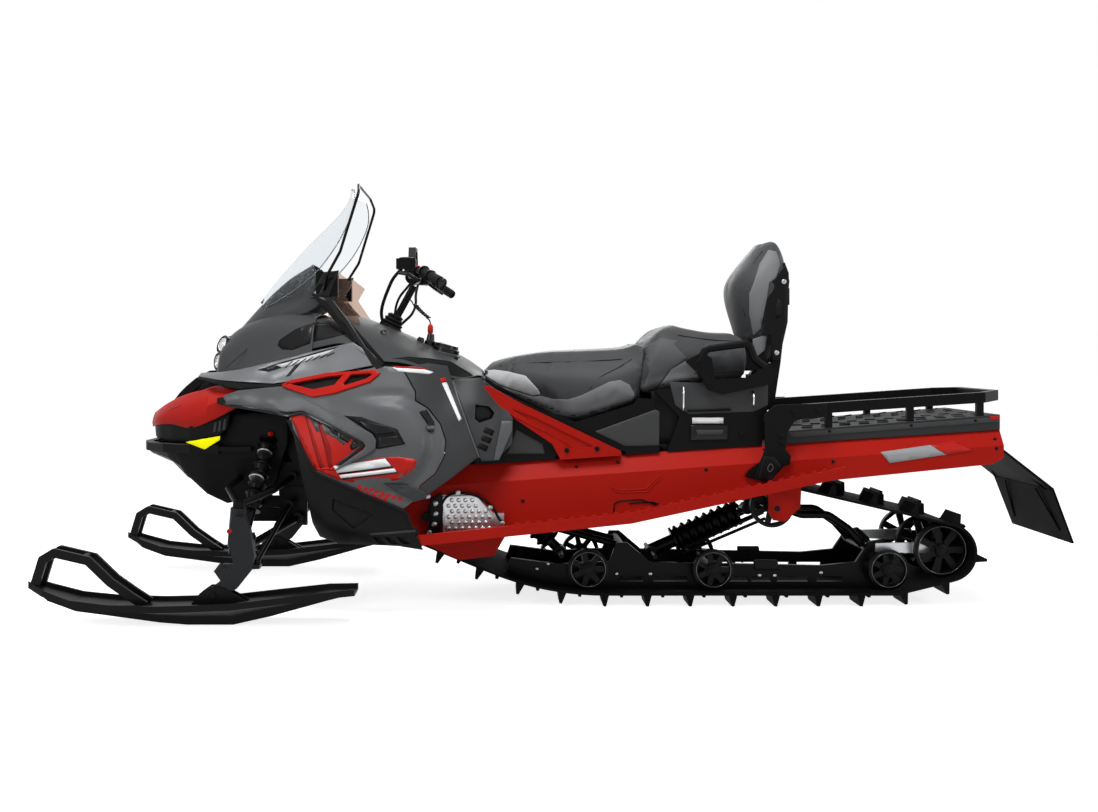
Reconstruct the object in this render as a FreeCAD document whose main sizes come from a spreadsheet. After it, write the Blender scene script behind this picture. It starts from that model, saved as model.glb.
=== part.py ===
"""A two-up utility snowmobile with a passenger seat, backrest and cargo rack, as a FreeCAD document.

Millimetres. +X points to the front, +Y to the rider's left, +Z up. The origin is on the ground,
in the middle of the overall length and width. It stands on its track lugs and ski keels.
"""

import FreeCAD, Part
import math
import os
import Sketcher
from FreeCAD import Placement, Rotation, Vector

doc = FreeCAD.newDocument("snowmobile")

# ----------------------------------------------------------------------------------------------
# Driving dimensions
# ----------------------------------------------------------------------------------------------
DRIVING = [
    # track and wheels
    ("track_width", 500, "width of the rubber track"),
    ("belt_thick", 8, "thickness of the track's belt"),
    ("lug_height", 38, "height of a lug over the belt"),
    ("lug_base", 30, "length of a lug at the belt"),
    ("lug_tip", 9, "length of a lug at its tip"),
    ("lug_rows", 58, "rows of lugs round the track, outer and middle in turn"),
    ("outer_lug_width", 118, "width of one of the two lugs of an outer row"),
    ("middle_lug_width", 200, "width of the lug of a middle row"),
    ("run_gap", 0.3, "gap between a wheel and the belt, and other seats"),
    ("bogie_radius", 70, "radius of the small idler wheels"),
    ("bogie_front_x", -77, "place of the front idler axle"),
    ("bogie_middle_x", -512, "place of the middle idler axle"),
    ("bogie_rear_x", -1121, "place of the rear idler axle"),
    ("rear_wheel_radius", 93, "radius of the rear axle's wheels"),
    ("rear_axle_x", -1305, "place of the rear axle"),
    ("rear_axle_z", 185, "height of the rear axle"),
    ("upper_wheel_radius", 76, "radius of the upper carrier wheels"),
    ("upper_axle_x", -716, "place of the upper carrier axle"),
    ("upper_axle_z", 339, "height of the upper carrier axle"),
    ("sprocket_radius", 92, "radius of the drive sprockets"),
    ("drive_axle_x", 480, "place of the drive axle"),
    ("drive_axle_z", 312, "height of the drive axle"),
    ("wheel_width", 26, "width of an idler wheel"),
    ("wheel_centre_y", 185, "middle of an idler wheel from the centre line"),
    ("axle_radius", 10, "radius of the idler axles"),
    ("drive_axle_radius", 15, "radius of the drive axle"),
    ("fit_gap", 0.1, "radial gap of a shaft in a plate"),
    # slide rails
    ("rail_y", 130, "inner face of a slide rail from the centre line"),
    ("rail_thick", 14, "thickness of a slide rail"),
    ("rail_depth", 68, "depth of a slide rail"),
    ("rail_bend_x", -130, "where the rail starts to curve up"),
    ("rail_bend_radius", 1043, "radius of the belt's outside over the rail's front"),
    ("rail_front_angle", 19, "angle of the bend at which the rail's nose ends"),
    # tunnel
    ("tunnel_front_x", 640, "front end of the tunnel"),
    ("tunnel_rear_x", -1487, "rear end of the tunnel"),
    ("track_side_gap", 18, "gap between the track and the tunnel's side"),
    ("tunnel_shoulder_width", 36, "width of the tunnel's slanted shoulder"),
    ("tunnel_top_front_z", 465, "top of the tunnel at its front end"),
    ("tunnel_top_rear_z", 607, "top of the tunnel at its rear end"),
    ("tunnel_shoulder", 63, "height of the tunnel's slanted shoulder at the front"),
    ("tunnel_sheet", 4, "thickness of the tunnel's sheet"),
    # running boards
    ("board_outer_y", 432, "outside of a running board from the centre line"),
    ("board_front_x", 505, "front end of a running board"),
    ("board_kink_x", -200, "where a running board steepens"),
    ("board_rear_x", -905, "rear end of a running board"),
    ("board_front_z", 238, "underside of a running board at its front"),
    ("board_kink_z", 312, "underside of a running board at its kink"),
    ("board_rear_z", 464, "underside of a running board at its rear"),
    ("board_sheet", 5, "thickness of a running board's floor"),
    ("board_rim", 34, "height of a running board's outer rim"),
    ("board_rim_width", 20, "width of a running board's outer rim"),
    ("board_tooth", 9, "height of the teeth on the rim"),
    ("board_tooth_pitch", 36, "spacing of the teeth on the rim"),
    # skis and steering
    ("ski_y", 500, "middle of a ski from the centre line"),
    ("ski_pivot_x", 1145, "place of the ski's pivot bolt"),
    ("ski_pivot_z", 98, "height of the ski's pivot bolt"),
    ("ski_bolt_radius", 8, "radius of the ski's pivot bolt"),
    ("kingpin_x", 1085, "place of the king pin at its middle height"),
    ("kingpin_y", 462, "king pin from the centre line"),
    ("kingpin_z", 305, "middle height of the king pin"),
    ("kingpin_radius", 10, "radius of the king pin"),
    ("caster", 5, "lean of the king pin, top to the rear, in degrees"),
    ("spindle_boss_radius", 24, "radius of the spindle's boss"),
    ("spindle_boss_length", 126, "length of the spindle's boss"),
    ("spindle_thick", 26, "thickness of the spindle's leg"),
    ("saddle_gap", 15, "inside of the ski's saddle cheek from the ski's middle"),
    ("saddle_cheek", 7, "thickness of a saddle cheek"),
    ("steer_arm_back", 75, "steering arm's eye behind the king pin"),
    ("steer_arm_drop", 118, "middle of the steering arm below the middle of the king pin"),
    ("steer_arm_thick", 12, "thickness of the steering arm"),
    ("tie_rod_radius", 9, "radius of a tie rod"),
    ("link_x", 953, "place of the centre link between the tie rods"),
    ("link_z", 352, "height of the centre link"),
    ("link_half_length", 235, "half the length of the centre link"),
    ("post_low_x", 640, "lower bearing of the steering post"),
    ("post_low_z", 934, "height of the lower bearing of the steering post"),
    ("post_lean", 28.6, "lean of the steering post, top to the rear, in degrees"),
    ("post_length", 205, "steering post from its bearing to the bar clamp"),
    ("post_radius", 13, "radius of the steering post"),
    ("bar_radius", 11, "radius of the handlebar tube"),
    ("grip_radius", 17, "radius of a grip"),
    # front frame
    ("bulkhead_y", 172, "outside of the bulkhead's side plate from the centre line"),
    ("bulkhead_plate", 10, "thickness of the bulkhead's side plate"),
    ("frame_tube_radius", 12, "radius of the frame's tubes"),
    ("lower_arm_radius", 13, "radius of a lower control arm's tube"),
    ("upper_arm_radius", 11, "radius of an upper control arm's tube"),
    ("shock_body_radius", 17, "radius of a front damper's body"),
    ("shock_rod_radius", 7, "radius of a front damper's rod"),
    ("shock_coil_radius", 28, "radius of a front spring's coil centre line"),
    ("shock_wire_radius", 4.5, "radius of a front spring's wire"),
    ("shock_top_x", 1022, "top eye of a front shock"),
    ("shock_top_y", 205, "top eye of a front shock from the centre line"),
    ("shock_top_z", 605, "height of the top eye of a front shock"),
    ("shock_low_x", 1075, "lower eye of a front shock"),
    ("shock_low_y", 394, "lower eye of a front shock from the centre line"),
    ("shock_low_z", 262, "height of the lower eye of a front shock"),
    # bodywork
    ("panel_thick", 5, "wall of the moulded body panels"),
    ("grille_half_width", 57.7, "side of the nose grille from the centre line"),
    ("grille_slots", 6, "slots across the nose grille"),
    ("grille_pitch", 17, "spacing of the nose grille's slots"),
    ("grille_slot_width", 9, "width of a slot in the nose grille"),
    ("bumper_height", 30, "height of the front bumper bar"),
    ("bumper_depth", 26, "depth of the front bumper bar"),
    ("bumper_z", 541, "middle height of the front bumper bar"),
    ("windshield_thick", 4, "thickness of the clear windshield"),
    ("hoop_radius", 5, "radius of the windshield's support hoop"),
    ("engine_length", 236, "length of the engine block"),
    ("engine_width", 400, "width of the engine block"),
    ("engine_height", 290, "height of the engine block"),
    ("engine_x", 775, "middle of the engine block"),
    ("engine_low_z", 420, "underside of the engine block"),
    # seats and rear
    ("seat_gap", 0.3, "gap under a seat and between soft pieces"),
    ("tank_half_width", 248, "side of the fuel tank from the centre line"),
    ("brace_inner_y", 250, "inner face of a tunnel brace from the centre line"),
    ("brace_thick", 20, "thickness of a tunnel brace"),
    ("box_half_width", 272, "side of the rear seat box from the centre line"),
    ("deck_half_width", 245, "side of the cargo deck from the centre line"),
    ("deck_thick", 44, "thickness of the cargo deck's edge"),
    ("rack_half_width", 232, "middle of the rack's rail from the centre line"),
    ("rack_tube_width", 26, "width of the rack's tube"),
    ("rack_tube_height", 36, "height of the rack's tube"),
    ("rack_height", 66, "middle of the rack's rail over the deck's top"),
    ("flap_thick", 7, "thickness of the snow flap"),
    ("flap_half_width", 232, "side of the snow flap from the centre line"),
    ("tail_lamp_width", 116, "width of the tail lamp"),
    ("tail_lamp_height", 30, "height of the tail lamp"),
    ("tail_lamp_depth", 14, "depth of the tail lamp"),
    ("hitch_pin_radius", 9.5, "radius of the hitch's pin hole"),
    ("hitch_plate", 10, "thickness of a hitch plate"),
]

sizes = doc.addObject("Spreadsheet::Sheet", "sizes")
for row, (name, value, note) in enumerate(DRIVING, 1):
    sizes.set(f"A{row}", name)
    sizes.set(f"B{row}", repr(value))
    sizes.set(f"C{row}", note)
    sizes.setAlias(f"B{row}", name)
doc.recompute()


class Dimensions:
    """Reads a driving dimension from the sheet as an attribute."""

    def __getattr__(self, name):
        return float(sizes.get(name))


d = Dimensions()
nodes = []
UP = Vector(0, 0, 1)
LEFT = Vector(0, 1, 0)
FRONT = Vector(1, 0, 0)
ORIGIN = Vector(0, 0, 0)


# ----------------------------------------------------------------------------------------------
# Helpers
# ----------------------------------------------------------------------------------------------
def node(name, *shapes):
    """One sub-part whose shape is worked out here; several shapes stay separate solids."""
    made = doc.addObject("Part::Feature", name)
    made.Label = name
    made.Shape = shapes[0] if len(shapes) == 1 else Part.makeCompound(list(shapes))
    nodes.append(made)
    return made


def feature_node(name, feature):
    """One sub-part that is a parametric feature or body of the document."""
    feature.Label = name
    nodes.append(feature)
    return feature


def fuse(first, *others):
    """One solid from several that touch, its split faces joined again where that keeps it sound."""
    joined = first
    for other in others:
        joined = joined.fuse(other)
    refined = joined.removeSplitter()
    return refined if refined.isValid() else joined


def mirrored(shape):
    """The same shape on the other side of the centre plane."""
    return shape.mirror(ORIGIN, LEFT)


def polygon(points):
    """A closed wire through 3-D points."""
    return Part.makePolygon(list(points) + [points[0]])


def side_plate(outline, y_from, y_to):
    """An (x, z) outline, extruded along Y."""
    face = Part.Face(polygon([Vector(x, y_from, z) for x, z in outline]))
    return face.extrude(Vector(0, y_to - y_from, 0))


def rod(start, end, radius):
    """A round bar between two points."""
    start, end = Vector(*start), Vector(*end)
    return Part.makeCylinder(radius, (end - start).Length, start, end - start)


def cross_rod(x, z, radius, half_length):
    """A round bar along Y, centred on the centre plane."""
    return rod((x, -half_length, z), (x, half_length, z), radius)


def block(x_from, x_to, y_from, y_to, z_from, z_to):
    """A box between six planes."""
    return Part.makeBox(x_to - x_from, y_to - y_from, z_to - z_from, Vector(x_from, y_from, z_from))


def bent_path(points, radius):
    """Straight runs through the points, joined by arcs of the radius where there is room."""
    points = [Vector(*p) for p in points]
    edges, here = [], points[0]
    for before, corner, after in zip(points, points[1:], points[2:]):
        to_before = (before - corner).normalize()
        to_after = (after - corner).normalize()
        half = to_before.getAngle(to_after) / 2
        room = 0.45 * min((before - corner).Length, (after - corner).Length)
        tangent = min(radius / math.tan(half), room)
        bisector = (to_before + to_after).normalize()
        arc_radius = tangent * math.tan(half)
        middle = corner + bisector * (arc_radius / math.sin(half) - arc_radius)
        start, end = corner + to_before * tangent, corner + to_after * tangent
        edges += [Part.makeLine(here, start), Part.Arc(start, middle, end).toShape()]
        here = end
    return Part.Wire(edges + [Part.makeLine(here, points[-1])])


def tube(points, radius, bend):
    """A round bar along a bent path."""
    path = bent_path(points, bend)
    start = Vector(*points[0])
    along = Vector(*points[1]) - start
    ring = Part.Wire(Part.makeCircle(radius, start, along))
    return path.makePipeShell([ring], True, False)


def bent_path_rods(points, radius):
    """Round bars end to end through a few points, with a ball at each bend."""
    bars = [rod(a, b, radius) for a, b in zip(points, points[1:])]
    balls = [Part.makeSphere(radius, Vector(*point)) for point in points[1:-1]]
    return fuse(*bars, *balls)


def offset_line(points, distance):
    """A (y, z) polyline moved to its right-hand side by a distance, its corners kept."""
    normals = []
    for (y1, z1), (y2, z2) in zip(points, points[1:]):
        length = math.hypot(y2 - y1, z2 - z1)
        normals.append(((z2 - z1) / length, -(y2 - y1) / length))
    moved = []
    for i, (y, z) in enumerate(points):
        a, b = normals[max(i - 1, 0)], normals[min(i, len(normals) - 1)]
        spread = 1 + a[0] * b[0] + a[1] * b[1]
        moved.append((y + distance * (a[0] + b[0]) / spread, z + distance * (a[1] + b[1]) / spread))
    return moved


def middles_added(rows):
    """Rows of numbers with one more row between each two, on a smooth line through them all."""
    first = [2 * a - b for a, b in zip(rows[0], rows[1])]
    last = [2 * a - b for a, b in zip(rows[-1], rows[-2])]
    ends = [first, *rows, last]
    smooth = []
    for a, b, c, e in zip(ends, ends[1:], ends[2:], ends[3:]):
        smooth.append(tuple(b))
        smooth.append(tuple((9 * (q + r) - p - t) / 16 for p, q, r, t in zip(a, b, c, e)))
    return smooth + [tuple(rows[-1])]


def rounded(sections):
    """Moulded sections with one more between each two, and one more point between each two points."""
    lines = [middles_added(line) for *_, line in sections]
    flat = []
    for (x, lean, z, _), line in zip(sections, lines):
        flat.append((x, lean, z, *[number for point in line for number in point]))
    smooth = []
    for x, lean, z, *numbers in middles_added(flat):
        smooth.append((x, lean, z, list(zip(numbers[::2], numbers[1::2]))))
    return smooth


def shell(sections, thick):
    """A thin wall lofted through sections (x at z_ref, lean, z_ref, outer (y, z) line)."""
    wires = []
    for x_ref, lean, z_ref, line in sections:
        outline = line + offset_line(line, thick)[::-1]
        wires.append(polygon([Vector(x_ref + lean * (z - z_ref), y, z) for y, z in outline]))
    return Part.makeLoft(wires, True, True)


def arch(half_line):
    """A (y, z) half line from the left edge to the centre, completed from the right side."""
    return [(-y, z) for y, z in half_line] + [(y, z) for y, z in reversed(half_line) if y > 0]


def between(x, x1, z1, x2, z2):
    """The height at x on the straight line through two (x, z) points."""
    return z1 + (z2 - z1) * (x - x1) / (x2 - x1)


def largest(shape):
    """The largest solid of a shape that a cut has left in pieces."""
    return max(shape.Solids, key=lambda solid: solid.Volume)


def origin_plane(body, role):
    """One of a body's own origin planes."""
    return next(f for f in body.Origin.OriginFeatures if f.Role == role)


def outline_sketch(body, name, role, corners, offset):
    """A closed polygon sketch; each corner is a pair of expressions over the sheet."""
    sketch = body.newObject("Sketcher::SketchObject", name)
    sketch.AttachmentSupport = (origin_plane(body, role), [""])
    sketch.MapMode = "FlatFace"
    places = [Vector(float(sizes.evalExpression(a)), float(sizes.evalExpression(b)), 0) for a, b in corners]
    for i, place in enumerate(places):
        sketch.addGeometry(Part.LineSegment(place, places[(i + 1) % len(places)]))
    for i in range(len(places)):
        sketch.addConstraint(Sketcher.Constraint("Coincident", i, 2, (i + 1) % len(places), 1))
    for i, (a, b) in enumerate(corners):
        for kind, value, expression in (("DistanceX", places[i].x, a), ("DistanceY", places[i].y, b)):
            number = sketch.addConstraint(Sketcher.Constraint(kind, -1, 1, i, 1, value))
            sketch.setExpression(f"Constraints[{number}]", expression)
    sketch.setExpression("AttachmentOffset.Base.z", offset)
    return sketch


def padded_plate(name, corners, outer_y, thick):
    """A flat plate as a body: an (x, z) outline from its outer face at outer_y, towards -Y."""
    body = doc.addObject("PartDesign::Body", name)
    # The XZ plane's normal is -Y, so the offset is negative.
    sketch = outline_sketch(body, name + "_outline", "XZ_Plane", corners, f"-({outer_y})")
    pad = body.newObject("PartDesign::Pad", name + "_pad")
    pad.Profile = sketch
    pad.setExpression("Length", thick)
    sketch.Visibility = False
    return body


def pocket(body, name, corners, outer_y, depth):
    """Cuts an (x, z) outline into a plate from its outer face."""
    sketch = outline_sketch(body, name, "XZ_Plane", corners, f"-({outer_y})")
    cut = body.newObject("PartDesign::Pocket", name + "_cut")
    cut.Profile = sketch
    cut.Reversed = True
    cut.setExpression("Length", depth)
    return cut


# ----------------------------------------------------------------------------------------------
# Track: a belt round five pulleys, with outer and middle lugs in turn
# ----------------------------------------------------------------------------------------------
belt_gap = d.run_gap + d.belt_thick
ground_wheel_z = d.lug_height + belt_gap + d.bogie_radius
PULLEYS = [
    # x, z, radius of the belt's outside; anticlockwise with +X to the right
    (d.rail_bend_x, d.lug_height + d.rail_bend_radius, d.rail_bend_radius),
    (d.drive_axle_x, d.drive_axle_z, d.sprocket_radius + belt_gap),
    (d.upper_axle_x, d.upper_axle_z, d.upper_wheel_radius + belt_gap),
    (d.rear_axle_x, d.rear_axle_z, d.rear_wheel_radius + belt_gap),
    (d.bogie_rear_x, ground_wheel_z, d.bogie_radius + belt_gap),
]


def belt_headings():
    """The direction of each straight run that leaves a pulley, in radians."""
    headings = []
    for (x1, z1, r1), (x2, z2, r2) in zip(PULLEYS, PULLEYS[1:] + PULLEYS[:1]):
        apart = math.hypot(x2 - x1, z2 - z1)
        headings.append(math.atan2(z2 - z1, x2 - x1) + math.asin((r1 - r2) / apart))
    return headings


def belt_spans(inset):
    """The belt line moved inwards by inset, as runs and arcs: (kind, length, place at a distance)."""
    headings = belt_headings()
    spans = []
    for i, (x, z, radius) in enumerate(PULLEYS):
        arrive, leave = headings[i - 1], headings[i]
        turn = (leave - arrive) % (2 * math.pi)
        radius -= inset

        def on_arc(s, x=x, z=z, radius=radius, arrive=arrive):
            heading = arrive + s / radius
            return Vector(x + radius * math.sin(heading), 0, z - radius * math.cos(heading)), heading

        spans.append(("arc", radius * turn, on_arc))
        nx, nz, nr = PULLEYS[(i + 1) % len(PULLEYS)]
        start = Vector(x + radius * math.sin(leave), 0, z - radius * math.cos(leave))
        end = Vector(nx + (nr - inset) * math.sin(leave), 0, nz - (nr - inset) * math.cos(leave))

        def on_run(s, start=start, leave=leave):
            return start + Vector(math.cos(leave), 0, math.sin(leave)) * s, leave

        spans.append(("run", (end - start).Length, on_run))
    return spans


def belt_wire(inset, y):
    """The closed belt line at a place across the track."""
    edges = []
    for kind, length, place in belt_spans(inset):
        start, middle, end = (place(s)[0] + LEFT * y for s in (0, length / 2, length))
        if kind == "arc":
            edges.append(Part.Arc(start, middle, end).toShape())
        else:
            edges.append(Part.makeLine(start, end))
    return Part.Wire(edges)


def belt_place(distance):
    """A point on the belt's outside and the heading there."""
    for _, length, place in belt_spans(0):
        if distance <= length:
            return place(distance)
        distance -= length
    return belt_place(distance)


def lug(distance, y_from, y_to):
    """A tapered rubber lug that stands on the belt, its foot let into it."""
    foot, heading = belt_place(distance)
    along = Vector(math.cos(heading), 0, math.sin(heading))
    outwards = Vector(math.sin(heading), 0, -math.cos(heading))
    root = -d.belt_thick / 4
    half_base, half_tip = d.lug_base / 2, d.lug_tip / 2
    profile = [(-half_base, root), (half_base, root), (half_tip, d.lug_height), (-half_tip, d.lug_height)]
    corners = [foot + along * a + outwards * out + LEFT * y_from for a, out in profile]
    return Part.Face(polygon(corners)).extrude(LEFT * (y_to - y_from))


belt_length = sum(length for _, length, _ in belt_spans(0))
half_track = d.track_width / 2
tunnel_half_width = half_track + d.track_side_gap + d.tunnel_sheet
tunnel_top_half_width = tunnel_half_width - d.tunnel_shoulder_width
belt_rings = [belt_wire(0, -half_track), belt_wire(d.belt_thick, -half_track)]
belt = Part.makeFace(belt_rings, "Part::FaceMakerBullseye").extrude(LEFT * d.track_width)
lug_pitch = belt_length / d.lug_rows
lugs = []
for row in range(int(d.lug_rows)):
    if row % 2:
        lugs.append(lug(row * lug_pitch, -d.middle_lug_width / 2, d.middle_lug_width / 2))
    else:
        edge = half_track - d.board_sheet
        lugs.append(lug(row * lug_pitch, edge - d.outer_lug_width, edge))
        lugs.append(lug(row * lug_pitch, -edge, d.outer_lug_width - edge))
node("track", belt.multiFuse(lugs))

# ----------------------------------------------------------------------------------------------
# Wheels: a rubber-tyred disc with spokes, revolved and pocketed once, then set on its axles
# ----------------------------------------------------------------------------------------------
SPOKES = 7


def wheel_pattern(name, radius):
    """An idler wheel about the Z axis as a body, standing on its mid plane."""
    body = doc.addObject("PartDesign::Body", name)
    half, hub, tyre = "sizes.wheel_width / 2", "2.2 * sizes.axle_radius", "9"
    corners = [
        ("sizes.axle_radius", f"-({half})"),
        (hub, f"-({half})"),
        (hub, "-5"),
        (f"{radius} - {tyre}", "-5"),
        (f"{radius} - {tyre}", f"-({half})"),
        (radius, f"-({half}) + 3"),
        (radius, f"{half} - 3"),
        (f"{radius} - {tyre}", half),
        (f"{radius} - {tyre}", "5"),
        (hub, "5"),
        (hub, half),
        ("sizes.axle_radius", half),
    ]
    profile = outline_sketch(body, name + "_profile", "XZ_Plane", corners, "0")
    turned = body.newObject("PartDesign::Revolution", name + "_turned")
    turned.Profile = profile
    turned.ReferenceAxis = (profile, ["V_Axis"])
    turned.Angle = 360
    window = body.newObject("Sketcher::SketchObject", name + "_window")
    window.AttachmentSupport = (origin_plane(body, "XY_Plane"), [""])
    window.MapMode = "FlatFace"
    inner, outer = 2.9 * d.axle_radius, float(sizes.evalExpression(radius)) - 16
    right_half = [Vector(inner, -3, 0), Vector(outer, -0.3 * outer, 0)]
    places = right_half + [Vector(p.x, -p.y, 0) for p in reversed(right_half)]
    for i, place in enumerate(places):
        window.addGeometry(Part.LineSegment(place, places[(i + 1) % 4]))
    cut = body.newObject("PartDesign::Pocket", name + "_windows")
    cut.Profile = window
    cut.Midplane = True
    cut.setExpression("Length", "2 * sizes.wheel_width")
    doc.recompute()
    ring = body.newObject("PartDesign::PolarPattern", name + "_spokes")
    ring.Originals = [cut]
    ring.Axis = (window, ["N_Axis"])
    ring.Angle = 360
    ring.Occurrences = SPOKES
    body.Tip = ring
    doc.recompute()
    return body


small_wheel = wheel_pattern("small_wheel", "sizes.bogie_radius")
rear_wheel = wheel_pattern("rear_wheel", "sizes.rear_wheel_radius")
upper_wheel = wheel_pattern("upper_wheel", "sizes.upper_wheel_radius")


def wheel_set(wheel, x, z, places, half_axle):
    """Wheels of one axle and the axle that joins them."""
    turned = Rotation(FRONT, 90)
    shapes = []
    for y in places:
        copy = wheel.Shape.copy()
        copy.Placement = Placement(Vector(x, y, z), turned)
        shapes.append(copy)
    return fuse(cross_rod(x, z, d.axle_radius + 0.01, half_axle), *shapes)


pair = (-d.wheel_centre_y, d.wheel_centre_y)
wheel_reach = d.wheel_centre_y + d.wheel_width / 2 + 4
tunnel_inner_y = tunnel_half_width - d.tunnel_sheet
# The front idler already stands on the belt's upward bend.
bend_reach = d.rail_bend_radius - d.belt_thick - d.bogie_radius - d.run_gap
bend_rise = math.sqrt(bend_reach**2 - (d.bogie_front_x - d.rail_bend_x) ** 2)
front_wheel_z = d.lug_height + d.rail_bend_radius - bend_rise
IDLERS = [
    # wheel, x, z
    (small_wheel, d.bogie_front_x, front_wheel_z),
    (small_wheel, d.bogie_middle_x, ground_wheel_z),
    (small_wheel, d.bogie_rear_x, ground_wheel_z),
    (upper_wheel, d.upper_axle_x, d.upper_axle_z),
]
idlers = []
for wheel, x, z in IDLERS:
    reach = tunnel_inner_y - 0.5 if wheel is upper_wheel else wheel_reach
    idlers.append(wheel_set(wheel, x, z, pair, reach))
node("idler_wheels", *idlers)
rear_places = (-d.wheel_centre_y, 0, d.wheel_centre_y)
node("rear_wheels", wheel_set(rear_wheel, d.rear_axle_x, d.rear_axle_z, rear_places, wheel_reach))

# Drive axle with two toothed sprockets, carried by the tunnel's sides.
TEETH = 9


def sprocket(y):
    """A disc with square teeth that push the track's rods."""
    root = d.sprocket_radius - 14
    disc = rod((d.drive_axle_x, y - 11, d.drive_axle_z), (d.drive_axle_x, y + 11, d.drive_axle_z), root)
    teeth = []
    for i in range(TEETH):
        tooth = block(root - 3, d.sprocket_radius - 1, y - 9, y + 9, -7, 7)
        tooth.rotate(ORIGIN, LEFT, 360 * i / TEETH)
        tooth.translate(Vector(d.drive_axle_x, 0, d.drive_axle_z))
        teeth.append(tooth)
    return disc.multiFuse(teeth)


drive_axle = cross_rod(d.drive_axle_x, d.drive_axle_z, d.drive_axle_radius, tunnel_half_width + 14)
node("drive_sprockets", fuse(drive_axle, sprocket(-95), sprocket(95)))

# ----------------------------------------------------------------------------------------------
# Slide rails: a curved nose, a long straight rail with slots, axle holes and a raised rear
# ----------------------------------------------------------------------------------------------
rail_low_z = d.lug_height + d.belt_thick + d.run_gap
rail_top_z = rail_low_z + d.rail_depth
bend_radius = d.rail_bend_radius - d.belt_thick - d.run_gap
bend_centre = Vector(d.rail_bend_x, 0, d.lug_height + d.rail_bend_radius)


def bend_point(radius, degrees):
    """A point on the rail's bend, measured from straight down."""
    angle = math.radians(degrees)
    return bend_centre + Vector(radius * math.sin(angle), 0, -radius * math.cos(angle))


rail_rear_x = d.bogie_rear_x - 36
rail_outline = [
    # the top of the rail, from its nose to its rear
    bend_point(bend_radius - 0.72 * d.rail_depth, d.rail_front_angle),
    bend_point(bend_radius - d.rail_depth, 0.5 * d.rail_front_angle),
    Vector(d.bogie_front_x - 78, 0, rail_top_z + 22),
    Vector(d.bogie_front_x - 103, 0, rail_top_z + 88),
    Vector(d.bogie_front_x - 142, 0, rail_top_z + 88),
    Vector(d.bogie_front_x - 222, 0, rail_top_z + 20),
    Vector(d.bogie_rear_x + 220, 0, rail_top_z + 8),
    Vector(d.bogie_rear_x + 100, 0, rail_top_z + 20),
    Vector(d.bogie_rear_x + 52, 0, rail_top_z + 92),
    Vector(d.bogie_rear_x + 5, 0, rail_top_z + 100),
    Vector(rail_rear_x, 0, rail_top_z + 62),
    Vector(rail_rear_x, 0, rail_low_z + 26),
    Vector(d.bogie_rear_x, 0, rail_low_z),
    Vector(d.rail_bend_x, 0, rail_low_z),
]
nose_low = bend_point(bend_radius, d.rail_front_angle)
rail_edges = [Part.makeLine(a, b) for a, b in zip(rail_outline, rail_outline[1:])]
bend_middle = bend_point(bend_radius, 0.5 * d.rail_front_angle)
rail_edges.append(Part.Arc(rail_outline[-1], bend_middle, nose_low).toShape())
rail_edges.append(Part.makeLine(nose_low, rail_outline[0]))
rail_face = Part.Face(Part.Wire(rail_edges))
rail_blank = rail_face.extrude(LEFT * d.rail_thick)
rail_blank.translate(LEFT * d.rail_y)
RAIL_SLOTS = [
    # middle, length
    (-232, 86),
    (-345, 70),
    (-400, 60),
    (-600, 90),
    (-690, 70),
    (-800, 110),
    (-930, 90),
]
slot_low_z, slot_height = rail_low_z + 20, 18
rail_sides = (d.rail_y - 1, d.rail_y + d.rail_thick + 1)
rail_cuts = []
for x, length in RAIL_SLOTS:
    ends = (x - length / 2, x + length / 2)
    rail_cuts.append(block(*ends, *rail_sides, slot_low_z, slot_low_z + slot_height))
for _, x, z in IDLERS[:3]:
    rail_cuts.append(cross_rod(x, z, d.axle_radius + 0.01 + d.fit_gap, 400))
rail = rail_blank.cut(rail_cuts)

# Rear axle adjusters: aluminium arms from the rails back to the rear axle.
ARM_FORE = (d.bogie_rear_x + 22, rail_top_z + 74)
adjuster_y = d.rail_y + d.rail_thick + d.run_gap
adjuster = side_plate(
    [
        (ARM_FORE[0] + 12, ARM_FORE[1] - 16),
        (ARM_FORE[0] + 12, ARM_FORE[1] + 14),
        (d.rear_axle_x - 16, d.rear_axle_z + 22),
        (d.rear_axle_x - 22, d.rear_axle_z - 20),
    ],
    adjuster_y,
    adjuster_y + 12,
).cut(cross_rod(d.rear_axle_x, d.rear_axle_z, d.axle_radius + 0.01 + d.fit_gap, 400))
node("axle_adjusters", adjuster, mirrored(adjuster))

# ----------------------------------------------------------------------------------------------
# Skid suspension: front and rear swing arms, cross shafts, two coil-over shocks, control rods
# ----------------------------------------------------------------------------------------------
cross_half = d.rail_y - d.run_gap
front_arm_low = (d.bogie_front_x - 122, rail_top_z + 66)
front_arm_high = (205, 330)
rear_arm_low = (d.bogie_rear_x + 50, rail_top_z + 62)
pin_radius = 8
EAR_THICK, EAR_HALF_WIDTH = 7, 13


def arm_shaft(x, z, radius, bore, half_length):
    """A cross tube that turns on an axle, or a plain shaft where the bore is nothing."""
    shaft = cross_rod(x, z, radius, half_length)
    return shaft.cut(cross_rod(x, z, bore, half_length + 1)) if bore else shaft


def shock_ears(x, z, axle_x, axle_z, half_gap):
    """Two plates from a cross tube to a shock's pin, and the pin."""
    pin, axle = Vector(x, 0, z), Vector(axle_x, 0, axle_z)
    side = (axle - pin).normalize().cross(LEFT) * EAR_HALF_WIDTH
    corners = [pin + side, pin - side, axle - side, axle + side]
    plates = []
    for y in (half_gap, -half_gap - EAR_THICK):
        plates.append(Part.Face(polygon([c + LEFT * y for c in corners])).extrude(LEFT * EAR_THICK))
    return plates + [cross_rod(x, z, pin_radius, half_gap + EAR_THICK)]


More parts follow.
